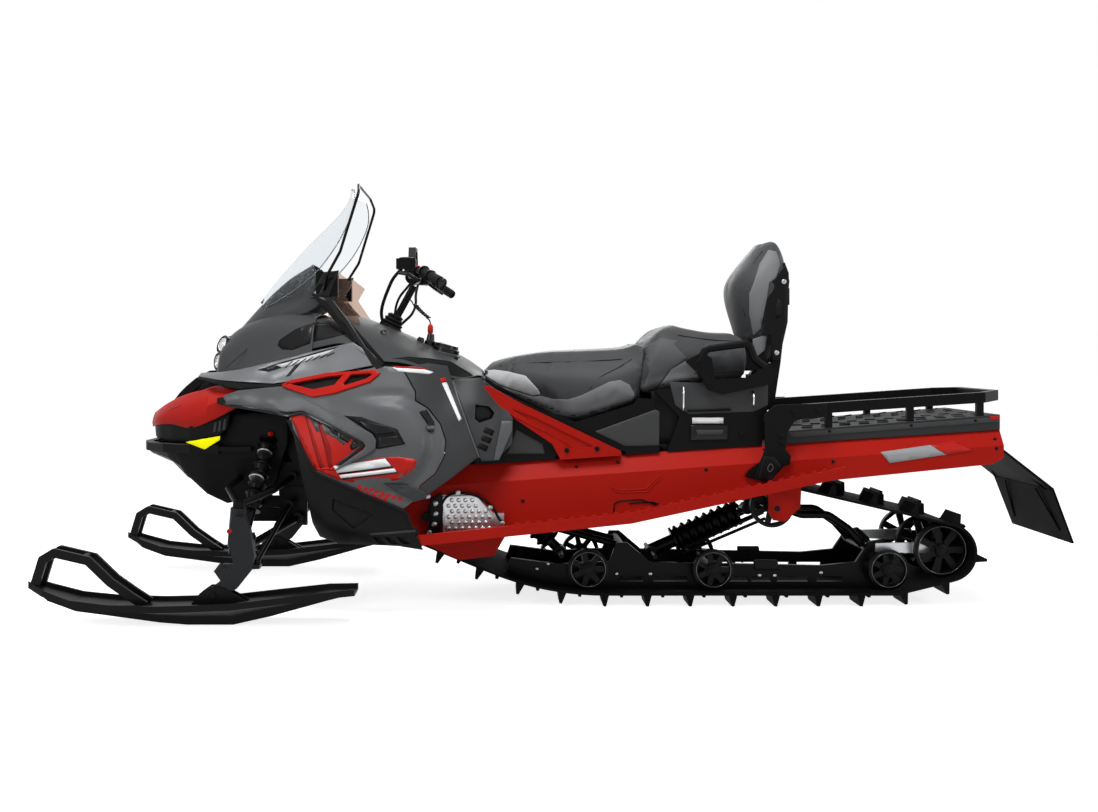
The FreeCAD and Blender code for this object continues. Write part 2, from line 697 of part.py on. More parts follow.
centre_shock_low = (12, 152)
centre_shock_high = (168, 303)
rear_shock_low = (-318, 150)
rear_shock_high = (d.upper_axle_x + 50, d.upper_axle_z - 34)
shock_eye_half = 27
front_leg_y, rear_leg_y = 64, 84
front_leg_line = [front_arm_low, (60, 250), front_arm_high]
rear_leg_line = [
    rear_arm_low,
    (rear_arm_low[0] + 58, rear_arm_low[1] + 66),
    (d.upper_axle_x - 224, d.upper_axle_z - 46),
    (d.upper_axle_x - 130, d.upper_axle_z - 46),
    (d.upper_axle_x, d.upper_axle_z),
]
front_legs, rear_legs = [], []
for side in (-1, 1):
    front_legs.append(tube([(x, side * front_leg_y, z) for x, z in front_leg_line], 12, 60))
    rear_legs.append(tube([(x, side * rear_leg_y, z) for x, z in rear_leg_line], 14, 50))
front_arm = fuse(
    arm_shaft(*front_arm_low, 16, 0, cross_half),
    arm_shaft(*front_arm_high, 16, 0, tunnel_inner_y - d.run_gap),
    *front_legs,
    *shock_ears(*centre_shock_high, *front_arm_high, shock_eye_half + 0.3),
)
node("front_swing_arm", front_arm)
axle_bore = cross_rod(d.upper_axle_x, d.upper_axle_z, d.axle_radius + 0.01 + d.fit_gap, 200)
rear_arm = fuse(
    arm_shaft(*rear_arm_low, 18, 0, cross_half),
    arm_shaft(d.upper_axle_x, d.upper_axle_z, 19, 0, d.wheel_centre_y - d.wheel_width / 2 - 4),
    *rear_legs,
    *shock_ears(*rear_shock_high, d.upper_axle_x, d.upper_axle_z, shock_eye_half + 0.3),
).cut(axle_bore)
node("rear_swing_arm", rear_arm)


def coil_over(low, high, body_radius, rod_radius, coil_radius, wire, turns):
    """A damper with its spring between two points, turned in one profile."""
    length = (high - low).Length
    seat, bottom, top = coil_radius + wire, 0.26 * length, 0.88 * length
    profile = [(0, 0), (body_radius, 0), (body_radius, bottom - 8), (seat, bottom - 8), (seat, bottom)]
    profile.append((coil_radius - wire, bottom + 3))
    edges = [Part.makeLine(Vector(*a, 0), Vector(*b, 0)) for a, b in zip(profile, profile[1:])]
    here = Vector(*profile[-1], 0)
    pitch = (top - bottom) / turns
    for i in range(turns):
        middle = bottom + (i + 0.5) * pitch
        start, end = Vector(coil_radius, middle - wire, 0), Vector(coil_radius, middle + wire, 0)
        valley = Vector(coil_radius - wire, middle + pitch / 2 - 3, 0)
        edges += [Part.makeLine(here, start), Part.Arc(start, Vector(seat, middle, 0), end).toShape()]
        edges.append(Part.makeLine(end, valley))
        here = valley
    rest = [(seat, top), (seat, top + 8), (rod_radius, top + 8), (rod_radius, length), (0, length), (0, 0)]
    for corner in rest:
        edges.append(Part.makeLine(here, Vector(*corner, 0)))
        here = Vector(*corner, 0)
    shock = Part.Face(Part.Wire(edges)).revolve(ORIGIN, LEFT, 360)
    shock.Placement = Placement(low, Rotation(LEFT, high - low))
    return shock


def with_eyes(shock, eyes, radius):
    """A shock with a bored eye on the pin at each end; an eye is its middle and half its way."""
    rings = [rod(middle - half, middle + half, radius) for middle, half in eyes]
    bores = [rod(middle - half * 2, middle + half * 2, pin_radius + d.fit_gap) for middle, half in eyes]
    return fuse(shock, *rings).cut(bores)


def skid_shock(low, high, coil_radius, turns):
    """A coil-over in the middle of the skid between two (x, z) eyes."""
    low, high = Vector(low[0], 0, low[1]), Vector(high[0], 0, high[1])
    shock = coil_over(low, high, coil_radius - 18, 9, coil_radius, 6.5, turns)
    return with_eyes(shock, [(low, LEFT * shock_eye_half), (high, LEFT * shock_eye_half)], pin_radius + 12)


node("rear_skid_shock", skid_shock(rear_shock_low, rear_shock_high, 42, 8))
node("centre_skid_shock", skid_shock(centre_shock_low, centre_shock_high, 36, 4))
shock_shafts = [cross_rod(x, z, pin_radius, d.rail_y + 2) for x, z in (rear_shock_low, centre_shock_low)]
node("slide_rails", fuse(rail, mirrored(rail), *shock_shafts))

# ----------------------------------------------------------------------------------------------
# Tunnel: folded sheet with slanted shoulders and a deep skirt at the front
# ----------------------------------------------------------------------------------------------
def tunnel_top(x):
    """Height of the tunnel's top at a place along it."""
    return between(x, d.tunnel_front_x, d.tunnel_top_front_z, d.tunnel_rear_x, d.tunnel_top_rear_z)


def board_low(x):
    """Underside of the running boards at a place along them."""
    if x > d.board_kink_x:
        return between(x, d.board_front_x, d.board_front_z, d.board_kink_x, d.board_kink_z)
    return between(x, d.board_kink_x, d.board_kink_z, d.board_rear_x, d.board_rear_z)


TUNNEL_STATIONS = [
    # x, height of the side's lower edge
    (d.tunnel_front_x, 330),
    (d.board_front_x, 228),
    (367, 164),
    (251, 178),
    (196, 272),
    (d.board_kink_x, 308),
    (d.board_rear_x, 436),
    (d.tunnel_rear_x + 40, 491),
    (d.tunnel_rear_x, 512),
]
tunnel_sections = []
for x, low in TUNNEL_STATIONS:
    top = tunnel_top(x)
    shoulder = top - d.tunnel_shoulder * between(x, d.tunnel_front_x, 1, d.tunnel_rear_x, 0.82)
    half = [(tunnel_half_width, low), (tunnel_half_width, shoulder), (tunnel_top_half_width, top)]
    tunnel_sections.append((x, 0, 0, arch(half)))
tunnel = shell(tunnel_sections, d.tunnel_sheet)
tunnel = tunnel.cut(cross_rod(d.drive_axle_x, d.drive_axle_z, d.drive_axle_radius + d.fit_gap, 400))
# Plates inside the tunnel's sides that carry the upper axle; they hang below the sheet.
hanger_outline = [
    (d.upper_axle_x + 30, d.upper_axle_z + 110),
    (d.upper_axle_x - 84, d.upper_axle_z + 110),
    (d.upper_axle_x - 79, d.upper_axle_z + 4),
    (d.upper_axle_x - 26, d.upper_axle_z - 45),
    (d.upper_axle_x + 14, d.upper_axle_z - 40),
    (d.upper_axle_x + 30, d.upper_axle_z - 12),
]
hanger = side_plate(hanger_outline, tunnel_inner_y - 8, tunnel_inner_y)
tunnel = fuse(tunnel, hanger, mirrored(hanger))
upper_bore = cross_rod(d.upper_axle_x, d.upper_axle_z, d.axle_radius + 0.01 + d.fit_gap, 400)
tunnel = tunnel.cut(upper_bore)
node("tunnel", tunnel)

# ----------------------------------------------------------------------------------------------
# Running boards: kinked floor with rows of snow holes and a toothed outer rim
# ----------------------------------------------------------------------------------------------
board_floor_y = d.board_outer_y - d.board_rim_width


def board_outline(low, high):
    """The (x, z) outline of a strip that follows the board, between two heights over its underside."""
    stations = (d.board_front_x, d.board_kink_x, d.board_rear_x)
    underside = [(x, board_low(x) + low) for x in stations]
    return underside + [(x, board_low(x) + high) for x in reversed(stations)]


floor = side_plate(board_outline(0, d.board_sheet), tunnel_half_width, board_floor_y)
rim = side_plate(board_outline(0, d.board_rim), board_floor_y, d.board_outer_y)
teeth = []
tooth_x = d.board_front_x - 330
while tooth_x > d.board_rear_x + 40:
    foot = board_low(tooth_x) + d.board_rim - 2
    tip = foot + d.board_tooth
    shape = [(tooth_x + 12, foot - 4), (tooth_x + 6, tip), (tooth_x - 6, tip + 3), (tooth_x - 12, foot)]
    teeth.append(side_plate(shape, d.board_outer_y - 6, d.board_outer_y))
    tooth_x -= d.board_tooth_pitch
snow_holes = []
for x_hole in range(int(d.board_rear_x) + 60, 130, 95):
    for y_hole in (292, 352):
        z_hole = board_low(x_hole)
        snow_holes.append(block(x_hole, x_hole + 62, y_hole, y_hole + 38, z_hole - 30, z_hole + 30))
board = fuse(floor, rim, *teeth).cut(snow_holes)
node("running_boards", board, mirrored(board))

# Dimpled tread plates on the tunnel's sides at the footwells, each with its end bracket.
tread_front_x, tread_rear_x, tread_end_x = 424, 252, 216
tread_front_z = board_low(tread_front_x) + d.board_sheet + 1
tread_rear_z = board_low(tread_rear_x) + d.board_sheet + 1
tread_outline = [(tread_front_x, tread_front_z), (tread_front_x, 386), (318, 391)]
tread_outline += [(tread_rear_x, 324), (tread_rear_x, tread_rear_z)]
tread = side_plate(tread_outline, tunnel_half_width, tunnel_half_width + 4)
end_sides = (tunnel_half_width, tunnel_half_width + 16)
tread_end = block(tread_end_x, tread_rear_x, *end_sides, tread_rear_z + 3, 326)
tread = fuse(tread, tread_end).cut(tunnel)
tread = largest(tread)
node("tread_plates", tread, mirrored(tread))

# ----------------------------------------------------------------------------------------------
# Front frame: bulkhead plates, cross shafts, rails to the tunnel and the pyramid over the engine
# ----------------------------------------------------------------------------------------------
ARM_PIVOTS = {
    # name: x, z of a control arm's inner pivot
    "lower_front": (1130, 300),
    "lower_rear": (930, 300),
    "upper_front": (1128, 440),
    "upper_rear": (950, 440),
}
arm_pin = 9
BULKHEAD_CORNERS = [
    ("1160", "282"),
    ("1140", "470"),
    ("1060", "sizes.shock_top_z + 35"),
    ("985", "sizes.shock_top_z + 35"),
    ("902", "500"),
    ("902", "282"),
]


def bulkhead_side(name):
    """A bulkhead's left side plate with its window, as a body."""
    body = padded_plate(name, BULKHEAD_CORNERS, "sizes.bulkhead_y", "sizes.bulkhead_plate")
    window = [("1090", "330"), ("1085", "400"), ("1000", "400"), ("1000", "330")]
    upper = [("1085", "475"), ("1035", "580"), ("1000", "575"), ("955", "490")]
    doc.recompute()
    pocket(body, name + "_window", window, "sizes.bulkhead_y", "sizes.bulkhead_plate + 1")
    pocket(body, name + "_upper_window", upper, "sizes.bulkhead_y", "sizes.bulkhead_plate + 1")
    doc.recompute()
    return body


bulkhead_body = bulkhead_side("bulkhead_plate")
left_plate = bulkhead_body.Shape
link_bore = cross_rod(d.link_x, d.link_z, d.tie_rod_radius + d.fit_gap, 400)
guide_inner_y = d.bulkhead_y - d.bulkhead_plate - 12
guide = rod((d.link_x, guide_inner_y, d.link_z), (d.link_x, d.bulkhead_y, d.link_z), d.tie_rod_radius + 8)
shafts = [cross_rod(x, z, arm_pin, d.bulkhead_y + 26) for x, z in ARM_PIVOTS.values()]
shock_pin_y = d.shock_top_y + 24
shafts.append(cross_rod(d.shock_top_x, d.shock_top_z, pin_radius, shock_pin_y))
frame_rail_y = d.bulkhead_y - d.bulkhead_plate / 2
frame_rail_size = 30
frame_rail_top = d.engine_low_z - 15
frame_rail_sides = (frame_rail_y - frame_rail_size / 2, frame_rail_y + frame_rail_size / 2)
frame_rail_low = frame_rail_top - frame_rail_size
frame_rail = block(d.tunnel_front_x, 1000, *frame_rail_sides, frame_rail_low, frame_rail_top)
left_frame = [left_plate, guide, frame_rail]
bulkhead = fuse(*left_frame, *[mirrored(part) for part in left_frame], *shafts)
node("bulkhead", bulkhead.cut(link_bore))

lean = math.radians(d.post_lean)
post_axis = Vector(-math.sin(lean), 0, math.cos(lean))
post_low = Vector(d.post_low_x, 0, d.post_low_z)


def on_post(distance, side=0, fore=0):
    """A point by the steering post: along it, to its left, and square to it towards the front."""
    return post_low + post_axis * distance + LEFT * side + Vector(math.cos(lean), 0, math.sin(lean)) * fore


collar = rod(on_post(-34), on_post(6), d.post_radius + 15)
foot_x, foot_y, foot_half = 502, 190, 22
foot_z = tunnel_top(foot_x - foot_half)
tower_parts = [collar]
for side in (-1, 1):
    neck = on_post(-18, side * (d.post_radius + 8))
    foot = (foot_x, side * foot_y, foot_z + d.frame_tube_radius)
    tower_parts.append(rod((1010, side * 150, 632), neck, d.frame_tube_radius))
    tower_parts.append(rod(foot, neck, d.frame_tube_radius))
    foot_sides = (side * foot_y - foot_half, side * foot_y + foot_half)
    tower_parts.append(block(foot_x - foot_half, foot_x + foot_half, *foot_sides, foot_z + 1, foot_z + 12))
tower = fuse(*tower_parts).cut(rod(on_post(-60), on_post(60), d.post_radius + d.fit_gap))
node("frame_pyramid", tower.cut([bulkhead, tunnel]))

engine_ends = (d.engine_x - d.engine_length / 2, d.engine_x + d.engine_length / 2)
engine_top_z = d.engine_low_z + d.engine_height
engine = block(*engine_ends, -d.engine_width / 2, d.engine_width / 2, d.engine_low_z, engine_top_z)
mount_ends = (d.engine_x - 90, d.engine_x + 90)
mount_sides = (frame_rail_y - 12, frame_rail_y + 12)
mount = block(*mount_ends, *mount_sides, frame_rail_top, d.engine_low_z)
node("engine_block", engine.cut([bulkhead, tower]), mount, mirrored(mount))

# ----------------------------------------------------------------------------------------------
# Front suspension: control arms, king pins and coil-over shocks
# ----------------------------------------------------------------------------------------------
caster = math.radians(d.caster)
pin_axis = Vector(-math.sin(caster), 0, math.cos(caster))
pin_middle = Vector(d.kingpin_x, d.kingpin_y, d.kingpin_z)
boss_half = d.spindle_boss_length / 2


def on_pin(distance, fore=0, side=0):
    """A point by the left king pin: along it, square to it towards the front, and to the left."""
    pin_front = Vector(math.cos(caster), 0, math.sin(caster))
    return pin_middle + pin_axis * distance + pin_front * fore + LEFT * side


def inner_bush(name, radius):
    """A control arm's bush on its cross shaft, as a bar and its bore."""
    x, z = ARM_PIVOTS[name]
    start, end = (x, d.bulkhead_y + d.run_gap, z), (x, d.bulkhead_y + 34, z)
    return rod(start, end, radius), rod(start, end, arm_pin + d.fit_gap)


eye_gap = 3
eye_length = 20
lower_eye = rod(on_pin(-boss_half - eye_gap - eye_length), on_pin(-boss_half - eye_gap), 18)
upper_eye = rod(on_pin(boss_half + eye_gap), on_pin(boss_half + eye_gap + eye_length), 18)
pin_half = boss_half + eye_gap + eye_length + 4
king_pin = rod(on_pin(-pin_half), on_pin(pin_half), d.kingpin_radius)
lower_middle = on_pin(-boss_half - eye_gap - eye_length / 2)
upper_middle = on_pin(boss_half + eye_gap + eye_length / 2)
bushes = {name: inner_bush(name, 17) for name in ARM_PIVOTS}
LOWER_ELBOWS = {"lower_front": (1125, 330, 250), "lower_rear": (1048, 345, 238)}
UPPER_ELBOWS = {"upper_front": (1140, 335, 418), "upper_rear": (985, 350, 412)}
leg_drop = 6


def arm_leg(name, elbow, outer, radius):
    """A control arm's leg from the middle of its bush by its elbow to the outer eye."""
    x, z = ARM_PIVOTS[name]
    end = outer - LEFT * 8 + FRONT * (5 if name.endswith("front") else -5)
    if name.startswith("lower"):
        end = end - pin_axis * leg_drop
    knee = Part.makeSphere(radius, Vector(*elbow))
    return fuse(rod((x, d.bulkhead_y + 12, z), elbow, radius), knee, rod(elbow, tuple(end), radius))


bores = [bush[1] for bush in bushes.values()]
lower_arm = [bushes[name][0] for name in LOWER_ELBOWS]
lower_arm += [arm_leg(name, elbow, lower_middle, d.lower_arm_radius) for name, elbow in LOWER_ELBOWS.items()]
shock_low = Vector(d.shock_low_x, d.shock_low_y, d.shock_low_z)
lower_eye_half, ear_thick, ear_half_width = 20, 14, 14
ear_inside = lower_eye_half + d.run_gap
ear_outside = ear_inside + ear_thick
saddle_sides = (d.shock_low_y - ear_half_width, d.shock_low_y + ear_half_width)
saddle_low_z, saddle_top_z = d.shock_low_z - 40, d.shock_low_z - 26
saddle_ends = (d.shock_low_x - ear_outside, d.shock_low_x + ear_outside)
saddle = [block(*saddle_ends, *saddle_sides, saddle_low_z, saddle_top_z)]
for low, high in ((-ear_outside, -ear_inside), (ear_inside, ear_outside)):
    ear_ends = (d.shock_low_x + low, d.shock_low_x + high)
    saddle.append(block(*ear_ends, *saddle_sides, saddle_low_z + 3, d.shock_low_z + 14))
cross_pin_half = FRONT * (ear_outside + 4)
shock_cross_pin = rod(shock_low - cross_pin_half, shock_low + cross_pin_half, pin_radius)
shock_room = rod(shock_low - FRONT * ear_inside, shock_low + FRONT * ear_inside, pin_radius + 12)
lower_arm = fuse(fuse(lower_eye, king_pin, *lower_arm, *saddle).cut(shock_room), shock_cross_pin).cut(bores)
upper_arm = [bushes[name][0] for name in UPPER_ELBOWS]
upper_arm += [arm_leg(name, elbow, upper_middle, d.upper_arm_radius) for name, elbow in UPPER_ELBOWS.items()]
pin_bore = rod(on_pin(-200), on_pin(200), d.kingpin_radius + d.fit_gap)
upper_arm = fuse(upper_eye, *upper_arm).cut(bores + [pin_bore])
node("front_arms", lower_arm, upper_arm, mirrored(lower_arm), mirrored(upper_arm))


def front_shock():
    """The left front coil-over; its lower eye turns on a pin along X, its upper eye on one along Y."""
    top = Vector(d.shock_top_x, d.shock_top_y, d.shock_top_z)
    bar_radii = (d.shock_body_radius, d.shock_rod_radius)
    shock = coil_over(shock_low, top, *bar_radii, d.shock_coil_radius, d.shock_wire_radius, 7)
    return with_eyes(shock, [(shock_low, FRONT * lower_eye_half), (top, LEFT * 13)], pin_radius + 9)


left_shock = front_shock()
node("front_shocks", left_shock, mirrored(left_shock))

# ----------------------------------------------------------------------------------------------
# Spindles: a bored boss on the king pin, a forged leg to the ski and a steering arm
# ----------------------------------------------------------------------------------------------
leg_y = d.ski_y - d.spindle_thick / 2
pivot = Vector(d.ski_pivot_x, d.ski_y, d.ski_pivot_z)
leg_outline = [
    (d.ski_pivot_x + 16, d.ski_pivot_z - 12),
    (d.ski_pivot_x + 18, d.ski_pivot_z + 14),
    (d.ski_pivot_x - 20, d.ski_pivot_z + 44),
    (1146, 172),
    (1128, 196),
    (1104, 180),
    (1084, 196),
    (1100, 284),
    (1084, 344),
    (1042, 344),
    (1030, 304),
    (1016, 222),
    (1025, 176),
    (1074, 115),
    (d.ski_pivot_x - 16, d.ski_pivot_z - 12),
]
leg = side_plate(leg_outline, leg_y, leg_y + d.spindle_thick)
boss = rod(on_pin(-boss_half), on_pin(boss_half), d.spindle_boss_radius)
web = side_plate([(1106, 262), (1092, 340), (1046, 340), (1058, 262)], d.kingpin_y + 8, leg_y)
toe = rod(pivot - LEFT * d.spindle_thick / 2, pivot + LEFT * d.spindle_thick / 2, 2.4 * d.ski_bolt_radius)
arm_top = -d.steer_arm_drop + d.steer_arm_thick / 2
arm_outline = [(20, 27), (20, 46), (-60, 46), (-90, 20), (-90, -14), (-61, -14), (-58, 14), (-44, 27)]
arm_corners = [on_pin(arm_top - d.steer_arm_thick, fore, side) for fore, side in arm_outline]
steering_arm = Part.Face(polygon(arm_corners)).extrude(pin_axis * d.steer_arm_thick)
rod_end_radius = 13
spindle = fuse(leg, boss, web, toe, steering_arm)
ski_bolt_bore = rod(pivot - LEFT * 50, pivot + LEFT * 50, d.ski_bolt_radius + d.fit_gap)
spindle = spindle.cut([pin_bore, ski_bolt_bore])
node("spindle_left", spindle)
node("spindle_right", mirrored(spindle))

# Tie rods and the centre link that joins them through the bulkhead.
arm_eye = on_pin(arm_top + d.run_gap, -d.steer_arm_back)
rod_end = rod(arm_eye, arm_eye + pin_axis * 15, rod_end_radius)
rod_start = tuple(arm_eye + pin_axis * 7.5)
link_end = (d.link_x, d.link_half_length, d.link_z)
tie_rod = rod(rod_start, link_end, d.tie_rod_radius)
knuckle_in = (d.link_x, d.link_half_length - 6, d.link_z)
knuckle_out = (d.link_x, d.link_half_length + 12, d.link_z)
left_link = [rod_end, tie_rod, rod(knuckle_in, knuckle_out, d.tie_rod_radius + 5)]
link = cross_rod(d.link_x, d.link_z, d.tie_rod_radius, d.link_half_length)
node("tie_rods", fuse(link, *left_link, *[mirrored(part) for part in left_link]))

# ----------------------------------------------------------------------------------------------
# Skis: a curved deck with side ribs and keel, a loop at the nose, and the saddle on its bolt
# ----------------------------------------------------------------------------------------------
SKI_STATIONS = [
    # x, underside of the keel, top of the deck, half width
    (1733, 122, 131, 30),
    (1680, 76, 108, 55),
    (1590, 43, 80, 72),
    (1467, 27, 66, 78),
    (1320, 7, 62, 80),
    (1230, 0, 64, 80),
    (1085, 0, 70, 80),
    (960, 28, 84, 80),
    (787, 76, 104, 74),
    (691, 100, 110, 52),
]
keel_half = 16
deck_sheet = 9
ski_sections = []
for x, low, deck, half in SKI_STATIONS:
    keel_top = min(low + 26, deck - deck_sheet - 1)
    edge = deck - deck_sheet
    half_line = [(keel_half * 0.5, low), (keel_half, keel_top), (half, edge)]
    half_line += [(half, deck + 12), (half - 7, deck + 12), (half - 8, deck)]
    outline = half_line + [(-y, z) for y, z in reversed(half_line)]
    ski_sections.append(polygon([Vector(x, d.ski_y + y, z) for y, z in outline]))
ski_blade = Part.makeLoft(ski_sections, True, True)
loop_path = [(1712, 126), (1686, 212), (1650, 234), (1542, 209), (1470, 140), (1404, 94), (1360, 66)]


def ski_loop(side):
    """One side of the nose loop, a flat bar along the path."""
    outer, inner = [], []
    for (x1, z1), (x2, z2) in zip(loop_path, loop_path[1:]):
        length = math.hypot(x2 - x1, z2 - z1)
        nx, nz = -(z2 - z1) / length * 14, (x2 - x1) / length * 14
        outer += [(x1 - nx, z1 - nz), (x2 - nx, z2 - nz)]
        inner += [(x1 + nx, z1 + nz), (x2 + nx, z2 + nz)]
    bars = []
    for i in range(0, len(outer), 2):
        bars.append(side_plate([outer[i], outer[i + 1], inner[i + 1], inner[i]], side, side + 12))
    joints = [rod((x, side, z), (x, side + 12, z), 14) for x, z in loop_path[1:-1]]
    return fuse(*bars, *joints)


loop_y = 24
loop_bars = [ski_loop(d.ski_y + loop_y), ski_loop(d.ski_y - loop_y - 12)]
bridge = rod((1668, d.ski_y - loop_y - 6, 224), (1668, d.ski_y + loop_y + 6, 224), 13)
bridge_low = rod((1560, d.ski_y - loop_y - 6, 213), (1560, d.ski_y + loop_y + 6, 213), 13)
loop = fuse(*loop_bars, bridge, bridge_low)
cheek_outline = [(1215, 70), (1188, 104), (1160, 124), (1128, 124)]
cheek_outline += [(1092, 108), (1040, 78), (1040, 62), (1215, 58)]
cheek_y = d.ski_y + d.saddle_gap
cheek = side_plate(cheek_outline, cheek_y, cheek_y + d.saddle_cheek)
cheek_in = side_plate(cheek_outline, 2 * d.ski_y - cheek_y - d.saddle_cheek, 2 * d.ski_y - cheek_y)
bolt_reach = d.saddle_gap + d.saddle_cheek + 8
ski_bolt = rod(pivot - LEFT * bolt_reach, pivot + LEFT * bolt_reach, d.ski_bolt_radius)
ski = fuse(ski_blade, cheek, cheek_in, ski_bolt)
node("ski_left", fuse(ski, loop))
node("ski_right", mirrored(fuse(ski, loop)))

# ----------------------------------------------------------------------------------------------
# Steering: post, clamp, handlebar, grips, levers and the grab strap
# ----------------------------------------------------------------------------------------------
BAR_POINTS = [(430, 385, 1108), (500, 282, 1150), (545, 110, 1143)]
bar_points = BAR_POINTS + [(x, -y, z) for x, y, z in reversed(BAR_POINTS)]
bar = tube(bar_points, d.bar_radius, 60)
post = rod(on_post(-30), on_post(d.post_length), d.post_radius)
clamp = rod(Vector(545, -42, 1143), Vector(545, 42, 1143), 26)
thrust = rod(on_post(6.2), on_post(20), d.post_radius + 9)
node("steering_post", fuse(post, thrust, clamp).cut(bar))
node("handlebar", bar)
grip_end, grip_in = Vector(*BAR_POINTS[0]), Vector(*BAR_POINTS[1])
grip_way = (grip_in - grip_end).normalize()
grip = rod(grip_end - grip_way * 6, grip_end + grip_way * 112, d.grip_radius).cut(bar)
node("grips", grip, mirrored(grip))

# Clamps, brake reservoir and lever on the left, throttle block and thumb lever on the right,
# and the rider's hand loop over the clamp.
lever_y, lever_x = 205, 522
left_clamp = rod((lever_x + 4, lever_y - 30, 1146), (lever_x - 12, lever_y + 26, 1147), 20)
reservoir = block(524, 592, 124, 176, 1164, 1200)
reservoir_neck = block(528, 562, 150, 190, 1146, 1168)
lever = bent_path_rods([(546, 196, 1152), (575, 214, 1146), (540, 300, 1136), (500, 356, 1112)], 6)
right_clamp = mirrored(rod((lever_x + 4, lever_y - 26, 1146), (lever_x - 12, lever_y + 34, 1147), 20))
throttle_box = block(500, 548, -232, -168, 1128, 1170)
thumb_lever = bent_path_rods([(505, -200, 1136), (474, -214, 1112), (452, -262, 1098)], 6)
left_control = fuse(left_clamp, reservoir_neck, reservoir, lever).cut([bar, grip])
right_control = fuse(right_clamp, throttle_box, thumb_lever).cut([bar, mirrored(grip)])
LOOP_OUTSIDE = [(64, 1134), (66, 1206), (44, 1250), (-44, 1250), (-66, 1206), (-64, 1134)]
LOOP_INSIDE = [(-50, 1134), (-52, 1200), (-36, 1237), (36, 1237), (52, 1200), (50, 1134)]
loop_face = Part.Face(polygon([Vector(532, y, z) for y, z in LOOP_OUTSIDE + LOOP_INSIDE]))
hand_loop = loop_face.extrude(FRONT * 26).cut([bar, clamp])
hand_loop = largest(hand_loop)
node("hand_controls", left_control, right_control, hand_loop)

# ----------------------------------------------------------------------------------------------
# Front bodywork: belly pan, bumper, nose, grille and lamps
# ----------------------------------------------------------------------------------------------
def panel_pair(name, left):
    """A left body panel and its mirror image as one sub-part of two solids."""
    node(name, left, mirrored(left))


bumper_low, bumper_high = d.bumper_z - d.bumper_height / 2, d.bumper_z + d.bumper_height / 2
pan_rim_z = bumper_low - d.run_gap
pan_seat_y = d.bulkhead_y + d.panel_thick + d.run_gap
BELLY_STATIONS = [
    # x, edge y, knuckle y, knuckle z, bottom half width, bottom z
    (1478, 90, 78, 518, 44, 508),
    (1400, 150, 132, 500, 70, 480),
    (1340, 168, 156, 468, 95, 428),
    (1240, 176, 174, 430, 110, 382),
    (1172, pan_seat_y, pan_seat_y, 400, 118, 338),
    (1146, pan_seat_y, pan_seat_y, 388, 120, 328),
]
belly_sections = []
for x, edge_y, knuckle_y, knuckle_z, low_y, low_z in BELLY_STATIONS:
    half = [(edge_y, pan_rim_z), (knuckle_y, knuckle_z), (low_y, low_z)]
    belly_sections.append((x, 0, 0, half + [(-y, z) for y, z in reversed(half)]))
belly_pan = shell(belly_sections, d.panel_thick).cut(bulkhead)
node("belly_pan", belly_pan)

# The bumper bar runs round the nose and back to the bulkhead along both sides.
BUMPER_PLAN = [(1190, 268), (1290, 262), (1400, 196), (1478, 120), (1500, 60)]
bumper_plan = BUMPER_PLAN + [(x, -y) for x, y in reversed(BUMPER_PLAN)]
outer = [Vector(x, y, bumper_low) for x, y in bumper_plan]
inner_line = offset_line(bumper_plan, d.bumper_depth)
inner = [Vector(x, y, bumper_low) for x, y in inner_line]
bumper = Part.Face(polygon(outer + inner[::-1])).extrude(UP * d.bumper_height)
stays = []
for side in (-1, 1):
    inner_y, outer_y = sorted((side * d.bulkhead_y, side * 264))
    stays.append(block(1080, 1210, inner_y, outer_y, d.bumper_z - 8, d.bumper_z + 8))
bumper = fuse(bumper, *stays).cut([bulkhead, left_shock, mirrored(left_shock), belly_pan])
node("bumper_front", bumper)

NOSE_STATIONS = [
    # x, lower edge y and z, cheek y and z, shoulder y and z, top z
    (1468, 70, 590, 95, 615, 80, 640, 655),
    (1430, 125, 585, 150, 640, 110, 672, 684),
    (1370, 175, 582, 198, 655, 150, 705, 716),
    (1290, 225, 600, 246, 665, 190, 730, 742),
    (1200, 268, 640, 282, 700, 215, 752, 770),
    (1120, 285, 680, 290, 722, 240, 758, 778),
]
nose_sections = []
for x, low_y, low_z, cheek_y2, cheek_z, shoulder_y, shoulder_z, top_z in NOSE_STATIONS:
    half = [(low_y, low_z), (cheek_y2, cheek_z), (shoulder_y, shoulder_z), (60, top_z)]
    nose_sections.append((x, 0, 0, arch(half)))
nose = shell(rounded(nose_sections), d.panel_thick)
grille_gap = block(1180, 1480, -58, 58, 560, 900)
nose = nose.cut(grille_gap)
node("nose_cowl", nose)

GRILLE_STEPS = [
    # x and z of the stepped top, then back along the underside
    (1455, 628),
    (1440, 668),
    (1400, 700),
    (1378, 728),
    (1354, 752),
    (1323, 778),
    (1272, 806),
    (1190, 812),
    (1190, 784),
    (1262, 778),
    (1310, 750),
    (1340, 724),
    (1364, 700),
    (1388, 672),
    (1424, 640),
    (1440, 610),
]


